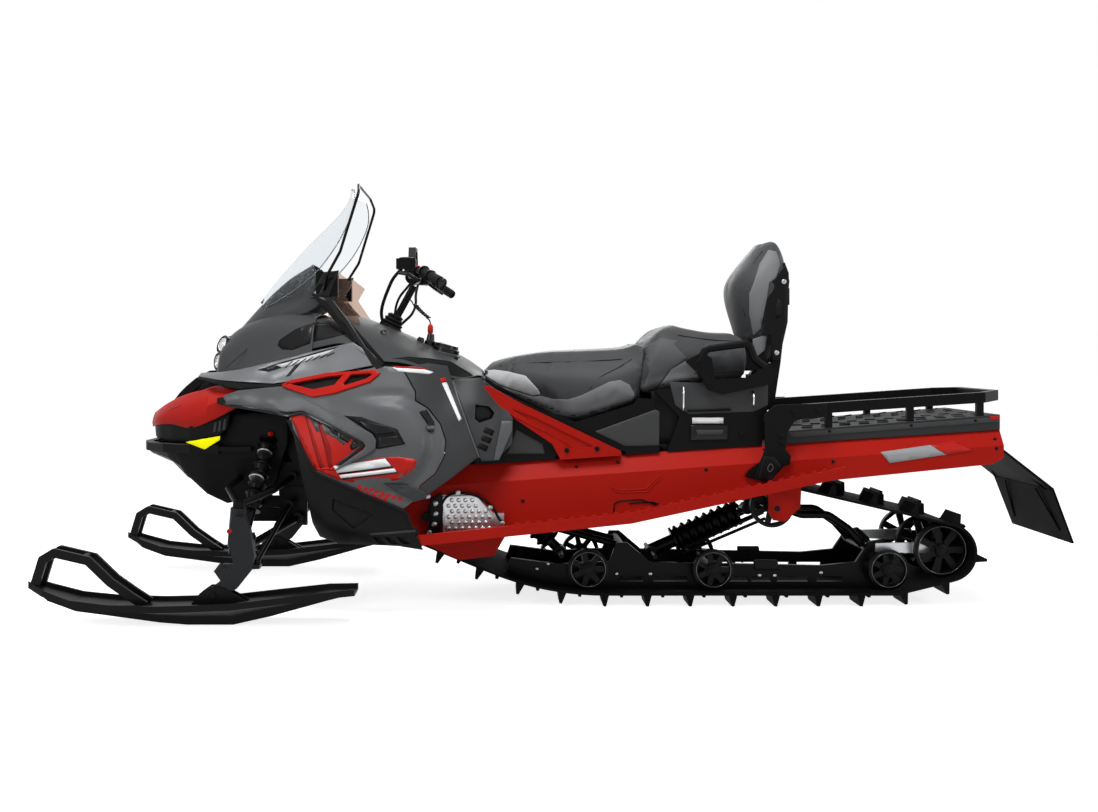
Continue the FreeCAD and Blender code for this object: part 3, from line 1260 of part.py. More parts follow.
def slotted_grille(name):
    """The nose grille as a body: a stepped plate with slots let through it from above."""
    corners = [(str(x), str(z)) for x, z in GRILLE_STEPS]
    body = padded_plate(name, corners, "sizes.grille_half_width", "2 * sizes.grille_half_width")
    first = "-(sizes.grille_slots - 1) * sizes.grille_pitch / 2 - sizes.grille_slot_width / 2"
    sides = (first, f"{first} + sizes.grille_slot_width")
    opening = [("1225", sides[0]), ("1436", sides[0]), ("1436", sides[1]), ("1225", sides[1])]
    sketch = outline_sketch(body, name + "_slot", "XY_Plane", opening, "900")
    cut = body.newObject("PartDesign::Pocket", name + "_slot_cut")
    cut.Profile = sketch
    cut.Length = 400
    doc.recompute()
    row = body.newObject("PartDesign::LinearPattern", name + "_slots")
    row.Originals = [cut]
    row.Direction = (sketch, ["V_Axis"])
    row.setExpression("Length", "(sizes.grille_slots - 1) * sizes.grille_pitch")
    row.setExpression("Occurrences", "sizes.grille_slots")
    body.Tip = row
    doc.recompute()
    return body


feature_node("grille", slotted_grille("nose_grille"))

HOOD_STATIONS = [
    # x, lower edge y and z, upper edge y and z
    (1288, 150, 792, 66, 806),
    (1200, 246, 776, 200, 806),
    (1120, 270, 772, 252, 815),
    (1000, 292, 768, 284, 842),
    (870, 318, 782, 302, 874),
    (754, 330, 808, 306, 898),
    (630, 342, 836, 334, 846),
]


def hood_rim(x):
    """The (y, z) of the hood's upper edge at a place along it."""
    for (x1, _, _, y1, z1), (x2, _, _, y2, z2) in zip(HOOD_STATIONS, HOOD_STATIONS[1:]):
        if x >= x2:
            return between(x, x1, y1, x2, y2), between(x, x1, z1, x2, z2)


FRONT_COWL_STATIONS = [
    # x, lean, flank y and z, shoulder y and z, top half width, top z
    (1222, -0.10, 122, 835, 70, 862, 20, 868),
    (1200, -0.20, 176, 870, 122, 905, 60, 925),
    (1120, 0, 205, 900, 165, 948, 110, 972),
    (1000, 0, 238, 940, 190, 985, 130, 1010),
    (870, 0, 262, 950, 215, 985, 150, 1000),
]
front_cowl_sections = []
for x, cowl_lean, y2, z2, y3, z3, y4, z4 in FRONT_COWL_STATIONS:
    rim_y, rim_z = hood_rim(x)
    rim_z += d.run_gap
    half = [(rim_y - 0.5, rim_z), (y2, z2), (y3, z3), (y4, z4)]
    front_cowl_sections.append((x, cowl_lean, rim_z, arch(half)))

LAMPS = [
    # x of the front, z, y, radius of a headlamp
    (1226, 843, 88, 27),
    (1216, 898, 92, 33),
]
lamps = []
lamp_rooms = []
for x, z, y, radius in LAMPS:
    for side in (-1, 1):
        centre = Vector(x - radius, side * y, z)
        front_half = block(x - 1.9 * radius, x, -200, 200, z - 60, z + 60)
        lamps.append(Part.makeSphere(radius, centre).common(front_half))
        lamp_rooms.append(Part.makeSphere(radius + d.run_gap, centre))
front_cowl = shell(rounded(front_cowl_sections), d.panel_thick).cut(lamp_rooms)
front_cowl = largest(front_cowl)
node("front_cowl", front_cowl)
node("headlamps", *lamps)

# ----------------------------------------------------------------------------------------------
# Hood, side panels, lower guards and console
# ----------------------------------------------------------------------------------------------
SIDE_PANEL_STATIONS = [
    # x, then y and z from the top edge over the ridge and the belly to the lower edge
    (1196, (262, 728), (276, 715), (282, 700), (284, 690)),
    (1120, (282, 752), (296, 735), (304, 712), (300, 684)),
    (1000, (300, 758), (322, 740), (338, 700), (334, 664)),
    (940, (308, 764), (334, 745), (352, 690), (372, 652)),
    (870, (320, 778), (350, 750), (376, 650), (398, 560)),
    (800, (328, 796), (366, 750), (398, 640), (424, 486)),
    (700, (336, 820), (384, 740), (424, 610), (432, 470)),
    (600, (340, 826), (388, 735), (430, 600), (432, 452)),
    (500, (322, 812), (372, 720), (430, 590), (432, 442)),
    (430, (300, 792), (352, 690), (416, 560), (428, 446)),
]
side_sections = [(x, 0, 0, [tuple(p) for p in line]) for x, *line in SIDE_PANEL_STATIONS]
side_panel = shell(rounded(side_sections), d.panel_thick)
window_outline = [(955, 748), (880, 722), (790, 726), (690, 772), (652, 800), (770, 790), (870, 776)]
intake_window = side_plate(window_outline, 250, 480)
side_panel = side_panel.cut([intake_window, nose])
panel_pair("side_panels", side_panel)

hood_sections = []
for x, low_y, low_z, high_y, high_z in HOOD_STATIONS:
    ridge = ((low_y + high_y) / 2 + 6, (low_z + high_z) / 2 + 2)
    hood_sections.append((x, 0, 0, [(high_y, high_z), ridge, (low_y, low_z)]))
hood_left = shell(hood_sections, d.panel_thick).cut([front_cowl, side_panel])
hood_left = largest(hood_left)
panel_pair("hood", hood_left)

# Red frame of the side intake, let into its window.
frame_outline = [(982, 762), (855, 795), (740, 806), (640, 812), (628, 797), (764, 730), (862, 712)]
frame_front = [(948, 756), (852, 781), (768, 786), (800, 742), (862, 730)]
frame_rear = [(748, 788), (650, 800), (768, 748), (778, 750)]
frame_proud = 8
frame_holes = [side_plate(hole, 250, 450) for hole in (frame_front, frame_rear)]
intake = side_plate(frame_outline, 300, 420).cut(frame_holes)
proud_sections = []
for x, panel_lean, z_ref, line in rounded(side_sections):
    proud_sections.append((x, panel_lean, z_ref, [(y + frame_proud, z) for y, z in line]))
intake = intake.common(shell(proud_sections, d.panel_thick + frame_proud)).cut(side_panel)
intake_frame = largest(intake)
panel_pair("intake_frames", intake_frame)

LOWER_GUARD_STATIONS = [
    # x, then y and z from the top edge to the bottom edge
    (936, (374, 648), (392, 560), (384, 470), (352, 400)),
    (890, (396, 560), (412, 480), (404, 380), (372, 322)),
    (843, (414, 480), (424, 420), (416, 310), (380, 268)),
    (760, (426, 440), (436, 380), (428, 280), (392, 246)),
    (652, (432, 388), (440, 340), (434, 262), (404, 238)),
    (535, (432, 334), (442, 310), (440, 262), (426, 240)),
    (509, (432, 318), (442, 300), (440, 262), (428, 244)),
]
guard_sections = [(x, 0, 0, list(line)) for x, *line in LOWER_GUARD_STATIONS]
guard = shell(rounded(guard_sections), d.panel_thick)
vents = []
for i in range(3):
    x_vent = 560 + 52 * i
    slat = [(x_vent, 262), (x_vent + 14, 262), (x_vent + 40, 288), (x_vent + 24, 290)]
    vents.append(side_plate(slat, 380, 460))
guard = guard.cut(vents + [side_panel])
panel_pair("lower_guards", guard)

brace_outline = [(306, 752), (268, 758), (150, 694), (-182, 536)]
brace_outline += [(-184, 522), (24, 508), (52, 560), (205, 663)]
brace_ends = (-184, 26)
brace_foot_thick = 12
brace_foot = [(x, tunnel_top(x)) for x in brace_ends]
brace_foot += [(x, tunnel_top(x) + brace_foot_thick) for x in reversed(brace_ends)]
brace_outer_y = d.brace_inner_y + d.brace_thick
brace_arm = side_plate(brace_outline, d.brace_inner_y, brace_outer_y)
brace_base = side_plate(brace_foot, tunnel_top_half_width - 30, brace_outer_y)
pressing = [(40, 580), (-10, 545), (-90, 552), (120, 655), (190, 680)]
brace = fuse(brace_arm, brace_base).cut([tunnel, side_plate(pressing, brace_outer_y - 5, brace_outer_y + 1)])
KNEE_STATIONS = [
    # x, then y and z from the top edge to the lower edge
    (426, (292, 784), (350, 690), (410, 560), (424, 440)),
    (370, (272, 766), (340, 680), (380, 560), (400, 405)),
    (290, (254, 776), (316, 700), (330, 600), (340, 500)),
    (240, (250, 730), (285, 650), (305, 600), (322, 506)),
    (186, (272, 655), (282, 640), (292, 610), (300, 560)),
]
knee_sections = [(x, 0, 0, list(line)) for x, *line in KNEE_STATIONS]
knee = shell(rounded(knee_sections), d.panel_thick).cut([tunnel, brace])
knee = largest(knee)
panel_pair("knee_panels", knee)

CONSOLE_STATIONS = [
    # x, side edge y and z, shoulder y and z, top half width and z
    (866, 292, 886, 214, 980, 120, 992),
    (753, 304, 902, 190, 978, 96, 999),
    (655, 336, 850, 172, 948, 84, 969),
    (560, 332, 838, 160, 908, 78, 930),
    (472, 300, 816, 148, 868, 70, 890),
    (374, 272, 782, 140, 838, 60, 858),
    (296, 250, 794, 120, 804, 50, 812),
]
console_sections = []
for x, edge_y, edge_z, shoulder_y, shoulder_z, top_y, top_z in CONSOLE_STATIONS:
    console_sections.append((x, 0, 0, arch([(edge_y, edge_z), (shoulder_y, shoulder_z), (top_y, top_z)])))
console = shell(rounded(console_sections), d.panel_thick)
post_hole = rod(on_post(-80), on_post(80), d.post_radius + 34)
console = console.cut([post_hole, front_cowl, hood_left, side_panel])
console = console.cut([mirrored(hood_left), mirrored(side_panel)])
console = largest(console)
node("console", console)

# ----------------------------------------------------------------------------------------------
# Windshield: moulded cowl, clear screen, support hoop and its stays
# ----------------------------------------------------------------------------------------------
SCREEN_COWL_STATIONS = [
    # x at the centre line, z there, half width, how far the edge lies back and down
    (1188, 934, 100, 34, 6),
    (1093, 1042, 158, 120, 56),
    (1000, 1130, 172, 140, 90),
    (905, 1192, 150, 42, 52),
]
SCREEN_BOW = [
    # share of the half width, share of the way back and down
    (0.0, 0.0),
    (0.26, 0.05),
    (0.5, 0.19),
    (0.7, 0.41),
    (0.87, 0.7),
    (1.0, 1.0),
]


def bowed_sheet(stations, thick):
    """A bowed sheet lofted through flat sections that lie back and down towards their edges."""
    wires = []
    for x, z, half, back, drop in middles_added(stations):
        run = Vector(-back, 0, -drop)
        left = [Vector(x, half * out, z) + run * fall for out, fall in SCREEN_BOW]
        front = [Vector(p.x, -p.y, p.z) for p in left[:0:-1]] + left
        inwards = run.normalize() * thick
        rear = [Vector(p.x, p.y * (1 - thick / half), p.z) + inwards for p in front]
        wires.append(polygon(front + rear[::-1]))
    return Part.makeLoft(wires, True, True)


screen_cowl = bowed_sheet(SCREEN_COWL_STATIONS, d.panel_thick)
screen_cowl = screen_cowl.cut(front_cowl)
node("windshield_cowl", largest(screen_cowl))

SCREEN_STATIONS = [
    # x and z at the centre line, half width, how far the edge lies back and down
    (1096, 1052, 110, 40, 20),
    (1021, 1147, 190, 118, 40),
    (916, 1258, 235, 118, 34),
    (812, 1356, 242, 70, 24),
    (770, 1412, 225, 42, 16),
    (762, 1447, 190, 26, 10),
]

HOOP_POINTS = [(840, 196, 1080), (822, 250, 1136), (775, 268, 1215), (712, 262, 1420), (722, 180, 1456)]
hoop_points = HOOP_POINTS + [(x, -y, z) for x, y, z in reversed(HOOP_POINTS)]
hoop = tube(hoop_points, d.hoop_radius, 30)
screen = bowed_sheet(SCREEN_STATIONS, d.windshield_thick).cut([hoop, screen_cowl])
screen = largest(screen)
node("windshield", screen)

strap_corners = [Vector(880, 206, 1072), Vector(826, 214, 1066), Vector(612, 348, 838), Vector(646, 346, 822)]
strap_way = (strap_corners[1] - strap_corners[0]).cross(strap_corners[2] - strap_corners[1]).normalize()
strap_halves = []
for corners in (strap_corners[:3], [strap_corners[0], *strap_corners[2:]]):
    strap_halves.append(Part.Face(polygon(corners)).extrude(strap_way * 6))
bracket = block(792, 868, 172, 204, 1064, 1150)
stay = fuse(*strap_halves, bracket).cut([hoop, console, front_cowl, hood_left, side_panel, screen])
stay_solid = largest(stay)
node("windshield_frame", hoop, stay_solid, mirrored(stay_solid))

# Tinted side wings that stand on the console behind the stays.
wing_outline = [(830, 1058), (806, 1106), (788, 1148), (742, 1112)]
wing_outline += [(768, 1066), (722, 997), (712, 960), (824, 970)]
wing = side_plate(wing_outline, 188, 192).cut([console, stay_solid, screen, hoop, screen_cowl])
wing = largest(wing)
node("wind_wings", wing, mirrored(wing))

# ----------------------------------------------------------------------------------------------
# Fuel tank, seats, backrest and grab handles
# ----------------------------------------------------------------------------------------------
def cushion(sections):
    """A soft block lofted through round-edged ribs: x low, x high, half width, z low, z high."""
    wires = []
    for x_low, x_high, half, low, high in middles_added(sections):
        height = high - low
        steps = [(0.84, 0.0), (0.96, 0.1), (1.0, 0.28), (1.0, 0.58), (0.94, 0.78), (0.8, 0.93), (0.5, 1.0)]
        side = [Vector(x_low + (x_high - x_low) * up, half * out, low + height * up) for out, up in steps]
        wires.append(polygon([Vector(p.x, -p.y, p.z) for p in side] + side[::-1]))
    return Part.makeLoft(wires, True, True)


FRONT_SEAT = [
    # x of the lower and upper edge, half width, lower and upper z
    (286, 292, 96, 774, 812),
    (236, 190, 130, 738, 842),
    (74, 60, 170, 666, 862),
    (-34, -60, 205, 632, 868),
    (-228, -214, 226, 693, 878),
    (-244, -286, 226, 716, 912),
]
REAR_SEAT = [
    (-251, -291, 226, 726, 916),
    (-300, -344, 232, 742, 960),
    (-425, -430, 238, 762, 944),
    (-520, -515, 236, 772, 930),
    (-618, -620, 226, 784, 928),
]
tank_outline = [(300, tunnel_top(300)), (300, 776)]
tank_outline += [(x_low, low - d.seat_gap) for x_low, _, _, low, _ in FRONT_SEAT]
tank_outline += [(-300, 710), (-318, tunnel_top(-318))]
tank = side_plate(tank_outline, -d.tank_half_width, d.tank_half_width).cut(tunnel)
# Room for the feet of the braces under the tank's edges.
room_x = (-200, 40)
room_outline = [(room_x[0], 0), (room_x[1], 0)]
room_outline += [(x, tunnel_top(x) + brace_foot_thick + 1) for x in reversed(room_x)]
foot_room = side_plate(room_outline, tunnel_top_half_width - 46, brace_outer_y + 10)
tank = tank.cut([foot_room, mirrored(foot_room), knee, mirrored(knee), brace, mirrored(brace)])
tank_solid = largest(tank)
node("fuel_tank", tank_solid)
node("tunnel_braces", brace, mirrored(brace))

node("seat_front", cushion(FRONT_SEAT).cut([tank_solid, console]))
BOX_OUTLINE = [(-326, 716), (-386, 650), (-344, tunnel_top(-344)), (-668, tunnel_top(-668)), (-704, 770)]
BOX_OUTLINE += [(x_low, low - d.seat_gap) for x_low, _, _, low, _ in reversed(REAR_SEAT[1:])]
box_wall_y = d.box_half_width - 30
seat_box = side_plate(BOX_OUTLINE, -box_wall_y, box_wall_y).cut([tunnel, tank_solid])
rear_seat = cushion(REAR_SEAT).cut([seat_box])
node("seat_rear", rear_seat)
node("seat_box", seat_box)

BACKREST = [
    # z, x front, x rear, half width
    (830, -664, -752, 96),
    (930, -640, -764, 130),
    (1060, -600, -776, 150),
    (1130, -606, -780, 152),
    (1200, -664, -774, 132),
    (1262, -718, -762, 92),
    (1280, -736, -752, 60),
]
rest_wires = []
for z, x_front, x_rear, half in middles_added(BACKREST):
    depth = x_front - x_rear
    level = [(0.0, 0.86), (0.14, 1.0), (0.55, 0.98), (0.86, 0.8), (1.0, 0.42)]
    side = [Vector(x_rear + depth * fore, half * out, z) for fore, out in level]
    rest_wires.append(polygon([Vector(p.x, -p.y, p.z) for p in side] + side[::-1]))
backrest = Part.makeLoft(rest_wires, True, True).cut(rear_seat)
node("backrest_pad", backrest)

POST_LINE = [
    # x, z of a backrest post: up its rear edge, then down its front edge
    (-684, 700),
    (-744, 700),
    (-764, 832),
    (-782, 990),
    (-796, 1125),
    (-780, 1190),
    (-770, 1184),
    (-783, 1120),
    (-768, 960),
    (-756, 870),
    (-700, 790),
]
rest_post = side_plate(POST_LINE, 84, 116)
cross_bars = [block(-796, -784, -116, 116, 1040, 1100), block(-745, -690, -116, 116, 768, 790)]
frame = fuse(rest_post, mirrored(rest_post), *cross_bars).cut([backrest, seat_box, rear_seat])
frame_solid = largest(frame)
node("backrest_frame", frame_solid)

handle_path = [(-450, 262, 836), (-474, 262, 884), (-620, 262, 903), (-640, 262, 850), (-696, 258, 806)]
handle = tube(handle_path, 13, 22)
HANDLE_PLATE = [
    (-405, 842),
    (-460, 872),
    (-492, 852),
    (-504, 780),
    (-620, 786),
    (-690, 836),
    (-716, 804),
    (-694, 764),
    (-528, 728),
    (-484, 742),
    (-448, 800),
]
handle_plate = side_plate(HANDLE_PLATE, box_wall_y, d.box_half_width)
grab = fuse(handle_plate, handle).cut([rear_seat, frame_solid])
grab_solid = largest(grab)
node("grab_handles", grab_solid, mirrored(grab_solid))

# ----------------------------------------------------------------------------------------------
# Cargo deck, rack, flap and hitch
# ----------------------------------------------------------------------------------------------
deck_front_x, deck_rear_x = -722, d.tunnel_rear_x + 2
deck_outline = [
    (deck_front_x, tunnel_top(deck_front_x)),
    (deck_front_x, tunnel_top(deck_front_x) + d.deck_thick - 6),
    (-760, tunnel_top(-760) + d.deck_thick),
    (deck_rear_x, tunnel_top(deck_rear_x) + d.deck_thick + 8),
    (deck_rear_x, tunnel_top(deck_rear_x)),
]
deck = side_plate(deck_outline, -d.deck_half_width, d.deck_half_width).cut([tunnel, seat_box])
node("cargo_deck", deck)


def rack_z(x):
    """Middle height of the rack's rail along it."""
    return tunnel_top(x) + d.deck_thick + d.rack_height + 4


rack_front_x, rack_rear_x = -800, -1500
rail_corner = 70
plan = [(rack_front_x, d.rack_half_width), (rack_rear_x + rail_corner, d.rack_half_width)]
plan.append((rack_rear_x, d.rack_half_width - rail_corner))
plan = plan + [(x, -y) for x, y in reversed(plan)]
half_tube = d.rack_tube_width / 2
ring = offset_line(plan, -half_tube) + offset_line(plan, half_tube)[::-1]
upright_ring = Part.Face(polygon([Vector(x, y, 0) for x, y in ring])).extrude(UP * 2000)
slab_ends = (rack_front_x + 60, rack_rear_x - 60)
slab = [(x, rack_z(x) - d.rack_tube_height / 2) for x in slab_ends]
slab += [(x, rack_z(x) + d.rack_tube_height / 2) for x in reversed(slab_ends)]
rail_ring = upright_ring.common(side_plate(slab, -400, 400))
MOUNT_LINE = [(-672, 540), (-742, 536), (-790, 560), (-900, 600), (-930, rack_z(-930))]
MOUNT_LINE += [(-800, rack_z(-800) + 14), (-690, rack_z(-690) + 8), (-662, 640)]
mount_plate = side_plate(MOUNT_LINE, d.deck_half_width + 1, d.deck_half_width + 13)
left_rack = [mount_plate]
for x in (-900, -1180, rack_rear_x + rail_corner + 10):
    leg_sides = (d.rack_half_width - 8, d.rack_half_width + 8)
    left_rack.append(block(x - 12, x + 12, *leg_sides, tunnel_top(x) + d.deck_thick - 2, rack_z(x)))
rack = rail_ring.multiFuse(left_rack + [mirrored(part) for part in left_rack]).cut([deck, tunnel, seat_box])
rack_solid = largest(rack)
stay_outline = [(-662, 545), (-742, 536), (-742, 500), (-650, 436), (-604, 450), (-616, 470), (-684, 520)]
rack_stay = side_plate(stay_outline, tunnel_half_width, tunnel_half_width + 12)
node("cargo_rack", rack_solid, rack_stay, mirrored(rack_stay))

FLAP_OUTLINE = [
    # x and z over the sheet, down the flap's rear face and up its front face
    ("sizes.tunnel_rear_x + 26", "500"),
    ("sizes.tunnel_rear_x - 4", "541 + sizes.flap_thick"),
    ("-1676", "397 + sizes.flap_thick"),
    ("-1739 - sizes.flap_thick", "216"),
    ("-1739", "214"),
    ("-1668", "398"),
    ("sizes.tunnel_rear_x - 4", "538"),
    ("sizes.tunnel_rear_x + 18", "496"),
]
flap = padded_plate("flap_body", FLAP_OUTLINE, "sizes.flap_half_width", "2 * sizes.flap_half_width")
doc.recompute()
feature_node("snow_flap", flap)

tail_lamp = doc.addObject("Part::Box", "tail_lamp_box")
tail_lamp.setExpression("Length", "sizes.tail_lamp_depth")
tail_lamp.setExpression("Width", "sizes.tail_lamp_width")
tail_lamp.setExpression("Height", "sizes.tail_lamp_height")
tail_lamp.setExpression("Placement.Base.x", "sizes.tunnel_rear_x + 2 - sizes.tail_lamp_depth")
tail_lamp.setExpression("Placement.Base.y", "-sizes.tail_lamp_width / 2")
tail_lamp.setExpression("Placement.Base.z", "sizes.tunnel_top_rear_z + 10")
doc.recompute()
feature_node("tail_lamp", tail_lamp)

hitch_low, hitch_gap = 528, 32
hitch_plates = []
for low in (hitch_low, hitch_low + d.hitch_plate + hitch_gap):
    hitch_plates.append(block(-1568, -1400, -40, 40, low, low + d.hitch_plate))
hitch_back = block(-1420, -1400, -40, 40, hitch_low, tunnel_top(-1420))
pin_hole = rod((-1545, 0, 400), (-1545, 0, 700), d.hitch_pin_radius)
hitch = fuse(*hitch_plates, hitch_back).cut([pin_hole, flap.Shape, tunnel, deck])
node("hitch", largest(hitch))

# ----------------------------------------------------------------------------------------------
# Finish: check every object and write the sub-parts
# ----------------------------------------------------------------------------------------------
doc.recompute()
for made in doc.Objects:
    if {"Invalid", "Error"} & set(made.State):
        raise RuntimeError(f"{made.Label} did not build: {made.State}")
os.makedirs("parts", exist_ok=True)
for made in nodes:
    shape = made.Shape
    if shape.isNull() or not shape.isValid() or not shape.Solids:
        raise RuntimeError(f"{made.Label} has no valid solid")
    shape.exportStep(f"parts/{made.Label}.step")
print(len(nodes), "sub-parts; belt", round(belt_length), "mm, pitch", round(lug_pitch, 1), "mm")
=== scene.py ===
import math

import bmesh
import bpy
import numpy
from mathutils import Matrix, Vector
from mathutils.bvhtree import BVHTree
from mathutils.geometry import delaunay_2d_cdt


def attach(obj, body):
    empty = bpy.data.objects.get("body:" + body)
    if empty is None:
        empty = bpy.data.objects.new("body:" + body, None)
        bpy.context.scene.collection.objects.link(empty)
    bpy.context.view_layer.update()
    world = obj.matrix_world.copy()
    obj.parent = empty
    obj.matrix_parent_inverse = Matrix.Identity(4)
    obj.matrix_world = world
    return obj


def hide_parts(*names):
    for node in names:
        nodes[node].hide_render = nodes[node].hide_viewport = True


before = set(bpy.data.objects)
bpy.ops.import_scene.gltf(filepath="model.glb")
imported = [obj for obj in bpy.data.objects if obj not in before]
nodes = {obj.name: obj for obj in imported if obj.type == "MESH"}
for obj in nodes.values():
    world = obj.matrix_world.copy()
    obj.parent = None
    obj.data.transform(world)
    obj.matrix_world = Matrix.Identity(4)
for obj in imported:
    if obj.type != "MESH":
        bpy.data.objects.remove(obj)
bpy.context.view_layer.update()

# ==== Camera, floor and lamps ====
# A level camera on the rider's left, a white floor under white surroundings, and soft lamps:
# a broad one overhead, one off each left corner and one on the far side.

def placed(name, data):
    """A new object in the scene, made of its data."""
    made = bpy.data.objects.new(name, data)
    bpy.context.scene.collection.objects.link(made)
    return made


camera = placed("camera", bpy.data.cameras.new("camera"))
camera.location = (0.240, 4.22, 0.880)
camera.rotation_euler = (math.radians(90), 0, math.radians(180))
camera.data.sensor_width = 36
camera.data.lens = 38.0
camera.data.shift_x = 0.0474
camera.data.shift_y = -0.0510
bpy.context.scene.camera = camera
bpy.context.scene.view_settings.view_transform = "Standard"


def dial(node, **sockets):
    """Set some input sockets of a shader node; an underscore stands for a space."""
    for name, value in sockets.items():
        node.inputs[name.replace("_", " ")].default_value = value
    return node


def add(tree, kind, **sockets):
    """A new shader node with some of its input sockets set."""
    return dial(tree.nodes.new("ShaderNode" + kind), **sockets)


def joined(tree, operation, first, second):
    """Two values joined by an operation; the second may be a number."""
    made = add(tree, "Math")
    made.operation = operation
    tree.links.new(first, made.inputs[0])
    if isinstance(second, float):
        made.inputs[1].default_value = second
    else:
        tree.links.new(second, made.inputs[1])
    return made.outputs[0]


def plainly_seen(tree):
    """One for the rays that show a backdrop: the camera's, and those through glass or off metal."""
    rays = add(tree, "LightPath").outputs
    off_metal = joined(tree, "MAXIMUM", rays["Is Camera Ray"], rays["Is Glossy Ray"])
    return joined(tree, "MAXIMUM", off_metal, rays["Is Transmission Ray"])


WHITE = (1, 1, 1, 1)
FLOOR_SHADE, FLOOR_GLOW, FLOOR_REACH = (0.62, 0.62, 0.62, 1), 0.8, 30
snow_white = bpy.data.materials.new("white_floor")
snow_white.use_nodes = True
floor_tree = snow_white.node_tree
floor_skin = floor_tree.nodes["Principled BSDF"]
dial(floor_skin, Base_Color=FLOOR_SHADE, Roughness=0.9, Specular_IOR_Level=0.1, Emission_Color=WHITE)
glow = joined(floor_tree, "MULTIPLY", plainly_seen(floor_tree), FLOOR_GLOW)
floor_tree.links.new(glow, floor_skin.inputs["Emission Strength"])
floor_mesh = bpy.data.meshes.new("floor")
corners = [(x * FLOOR_REACH, y * FLOOR_REACH, 0) for x, y in ((-1, -1), (1, -1), (1, 1), (-1, 1))]
floor_mesh.from_pydata(corners, [], [(0, 1, 2, 3)])
floor_mesh.materials.append(snow_white)
floor = placed("floor", floor_mesh)

world = bpy.data.worlds.new("surroundings")
bpy.context.scene.world = world
world.use_nodes = True
sky_tree = world.node_tree
sky = dial(sky_tree.nodes["Background"], Color=WHITE, Strength=0.3)
white_seen = add(sky_tree, "Background", Color=WHITE, Strength=1.0)
sky_mix = add(sky_tree, "MixShader")
sky_tree.links.new(plainly_seen(sky_tree), sky_mix.inputs[0])
sky_tree.links.new(sky.outputs[0], sky_mix.inputs[1])
sky_tree.links.new(white_seen.outputs[0], sky_mix.inputs[2])
sky_tree.links.new(sky_mix.outputs[0], sky_tree.nodes["World Output"].inputs["Surface"])

LAMPS = [
    # name, place, aimed at, size, power
    ("overhead_lamp", (0.3, 1.4, 4.0), (0, 0.1, 0.5), 1.8, 150),
    ("front_left_lamp", (3.4, 3.0, 2.2), (0.6, 0, 0.6), 1.2, 55),
    ("rear_left_lamp", (-3.6, 2.6, 2.0), (-0.5, 0, 0.5), 1.2, 40),
    ("far_side_lamp", (0, -3.6, 2.6), (0, 0, 0.5), 2.0, 50),
]
for name, place, target, size, power in LAMPS:
    lamp = bpy.data.lights.new(name, "AREA")
    lamp.shape = "DISK"
    lamp.size = size
    lamp.energy = power
    lamp_object = placed(name, lamp)
    lamp_object.location = place
    lamp_object.rotation_euler = (Vector(target) - Vector(place)).to_track_quat("-Z", "Y").to_euler()

# ==== Tunnel, braces and running boards ====
# The folded sheet tunnel that carries the rider, painted red, with its two flat braces and
# the red rims of the footboards; black bolts hold the braces.

def linear(code):
    """A linear colour from an sRGB hex code."""
    parts = [int(code[i : i + 2], 16) / 255 for i in (0, 2, 4)]
    return tuple(p / 12.92 if p <= 0.04045 else ((p + 0.055) / 1.055) ** 2.4 for p in parts) + (1.0,)


def finish(
    name, colour, rough=0.5, metal=0.0, shade=0.08, grain=0.0, grain_size=300, coat=0.0, sheen=0.0, wear=0.0,
    shine=0.12,
):
    """A surface with cloudy colour, uneven gloss, a fine grain and paler worn corners."""
    made = bpy.data.materials.new(name)
    made.use_nodes = True
    tree = made.node_tree
    link = tree.links.new
    skin = tree.nodes["Principled BSDF"]
    dial(
        skin, Metallic=metal, Coat_Weight=coat, Coat_Roughness=0.12, Sheen_Weight=sheen,
        Specular_IOR_Level=shine,
    )
    place = add(tree, "TexCoord")
    clouds = add(tree, "TexNoise", Scale=6, Detail=5)
    link(place.outputs["Object"], clouds.inputs["Vector"])
    base = linear(colour)
    darker = tuple(c * (1 - shade) for c in base[:3]) + (1,)
    lighter = tuple(min(1, c * (1 + shade)) for c in base[:3]) + (1,)
    tint = add(tree, "MixRGB", Color1=darker, Color2=lighter)
    link(clouds.outputs["Fac"], tint.inputs["Fac"])
    painted = tint.outputs[0]
    if wear:
        corner = add(tree, "NewGeometry")
        edges = add(tree, "MapRange", From_Min=0.52, From_Max=0.62, To_Max=wear)
        link(corner.outputs["Pointiness"], edges.inputs["Value"])
        worn = add(tree, "MixRGB", Color2=tuple(0.9 * c + 0.045 for c in base[:3]) + (1,))
        link(edges.outputs[0], worn.inputs["Fac"])
        link(painted, worn.inputs["Color1"])
        painted = worn.outputs[0]
    link(painted, skin.inputs["Base Color"])
    uneven = 0.07
    gloss = add(tree, "MapRange", To_Min=max(0.02, rough - uneven), To_Max=min(1, rough + uneven))
    link(clouds.outputs["Fac"], gloss.inputs["Value"])
    link(gloss.outputs[0], skin.inputs["Roughness"])
    if grain:
        grains = add(tree, "TexNoise", Scale=grain_size, Detail=3)
        link(place.outputs["Object"], grains.inputs["Vector"])
        bump = add(tree, "Bump", Strength=grain, Distance=0.0006)
        link(grains.outputs["Fac"], bump.inputs["Height"])
        link(bump.outputs[0], skin.inputs["Normal"])
    return made


def dress(material, *names):
    """Give frame parts their finish."""
    for name in names:
        piece = nodes[name]
        if piece.material_slots:
            for place in piece.material_slots:
                place.material = material
        else:
            piece.data.materials.append(material)


BOLT = [(8.5, 0), (8.5, 1.6), (7.4, 2.4), (6.2, 2.4), (6.0, 5.4), (5.2, 6), (2.6, 6), (2.6, 3.6)]


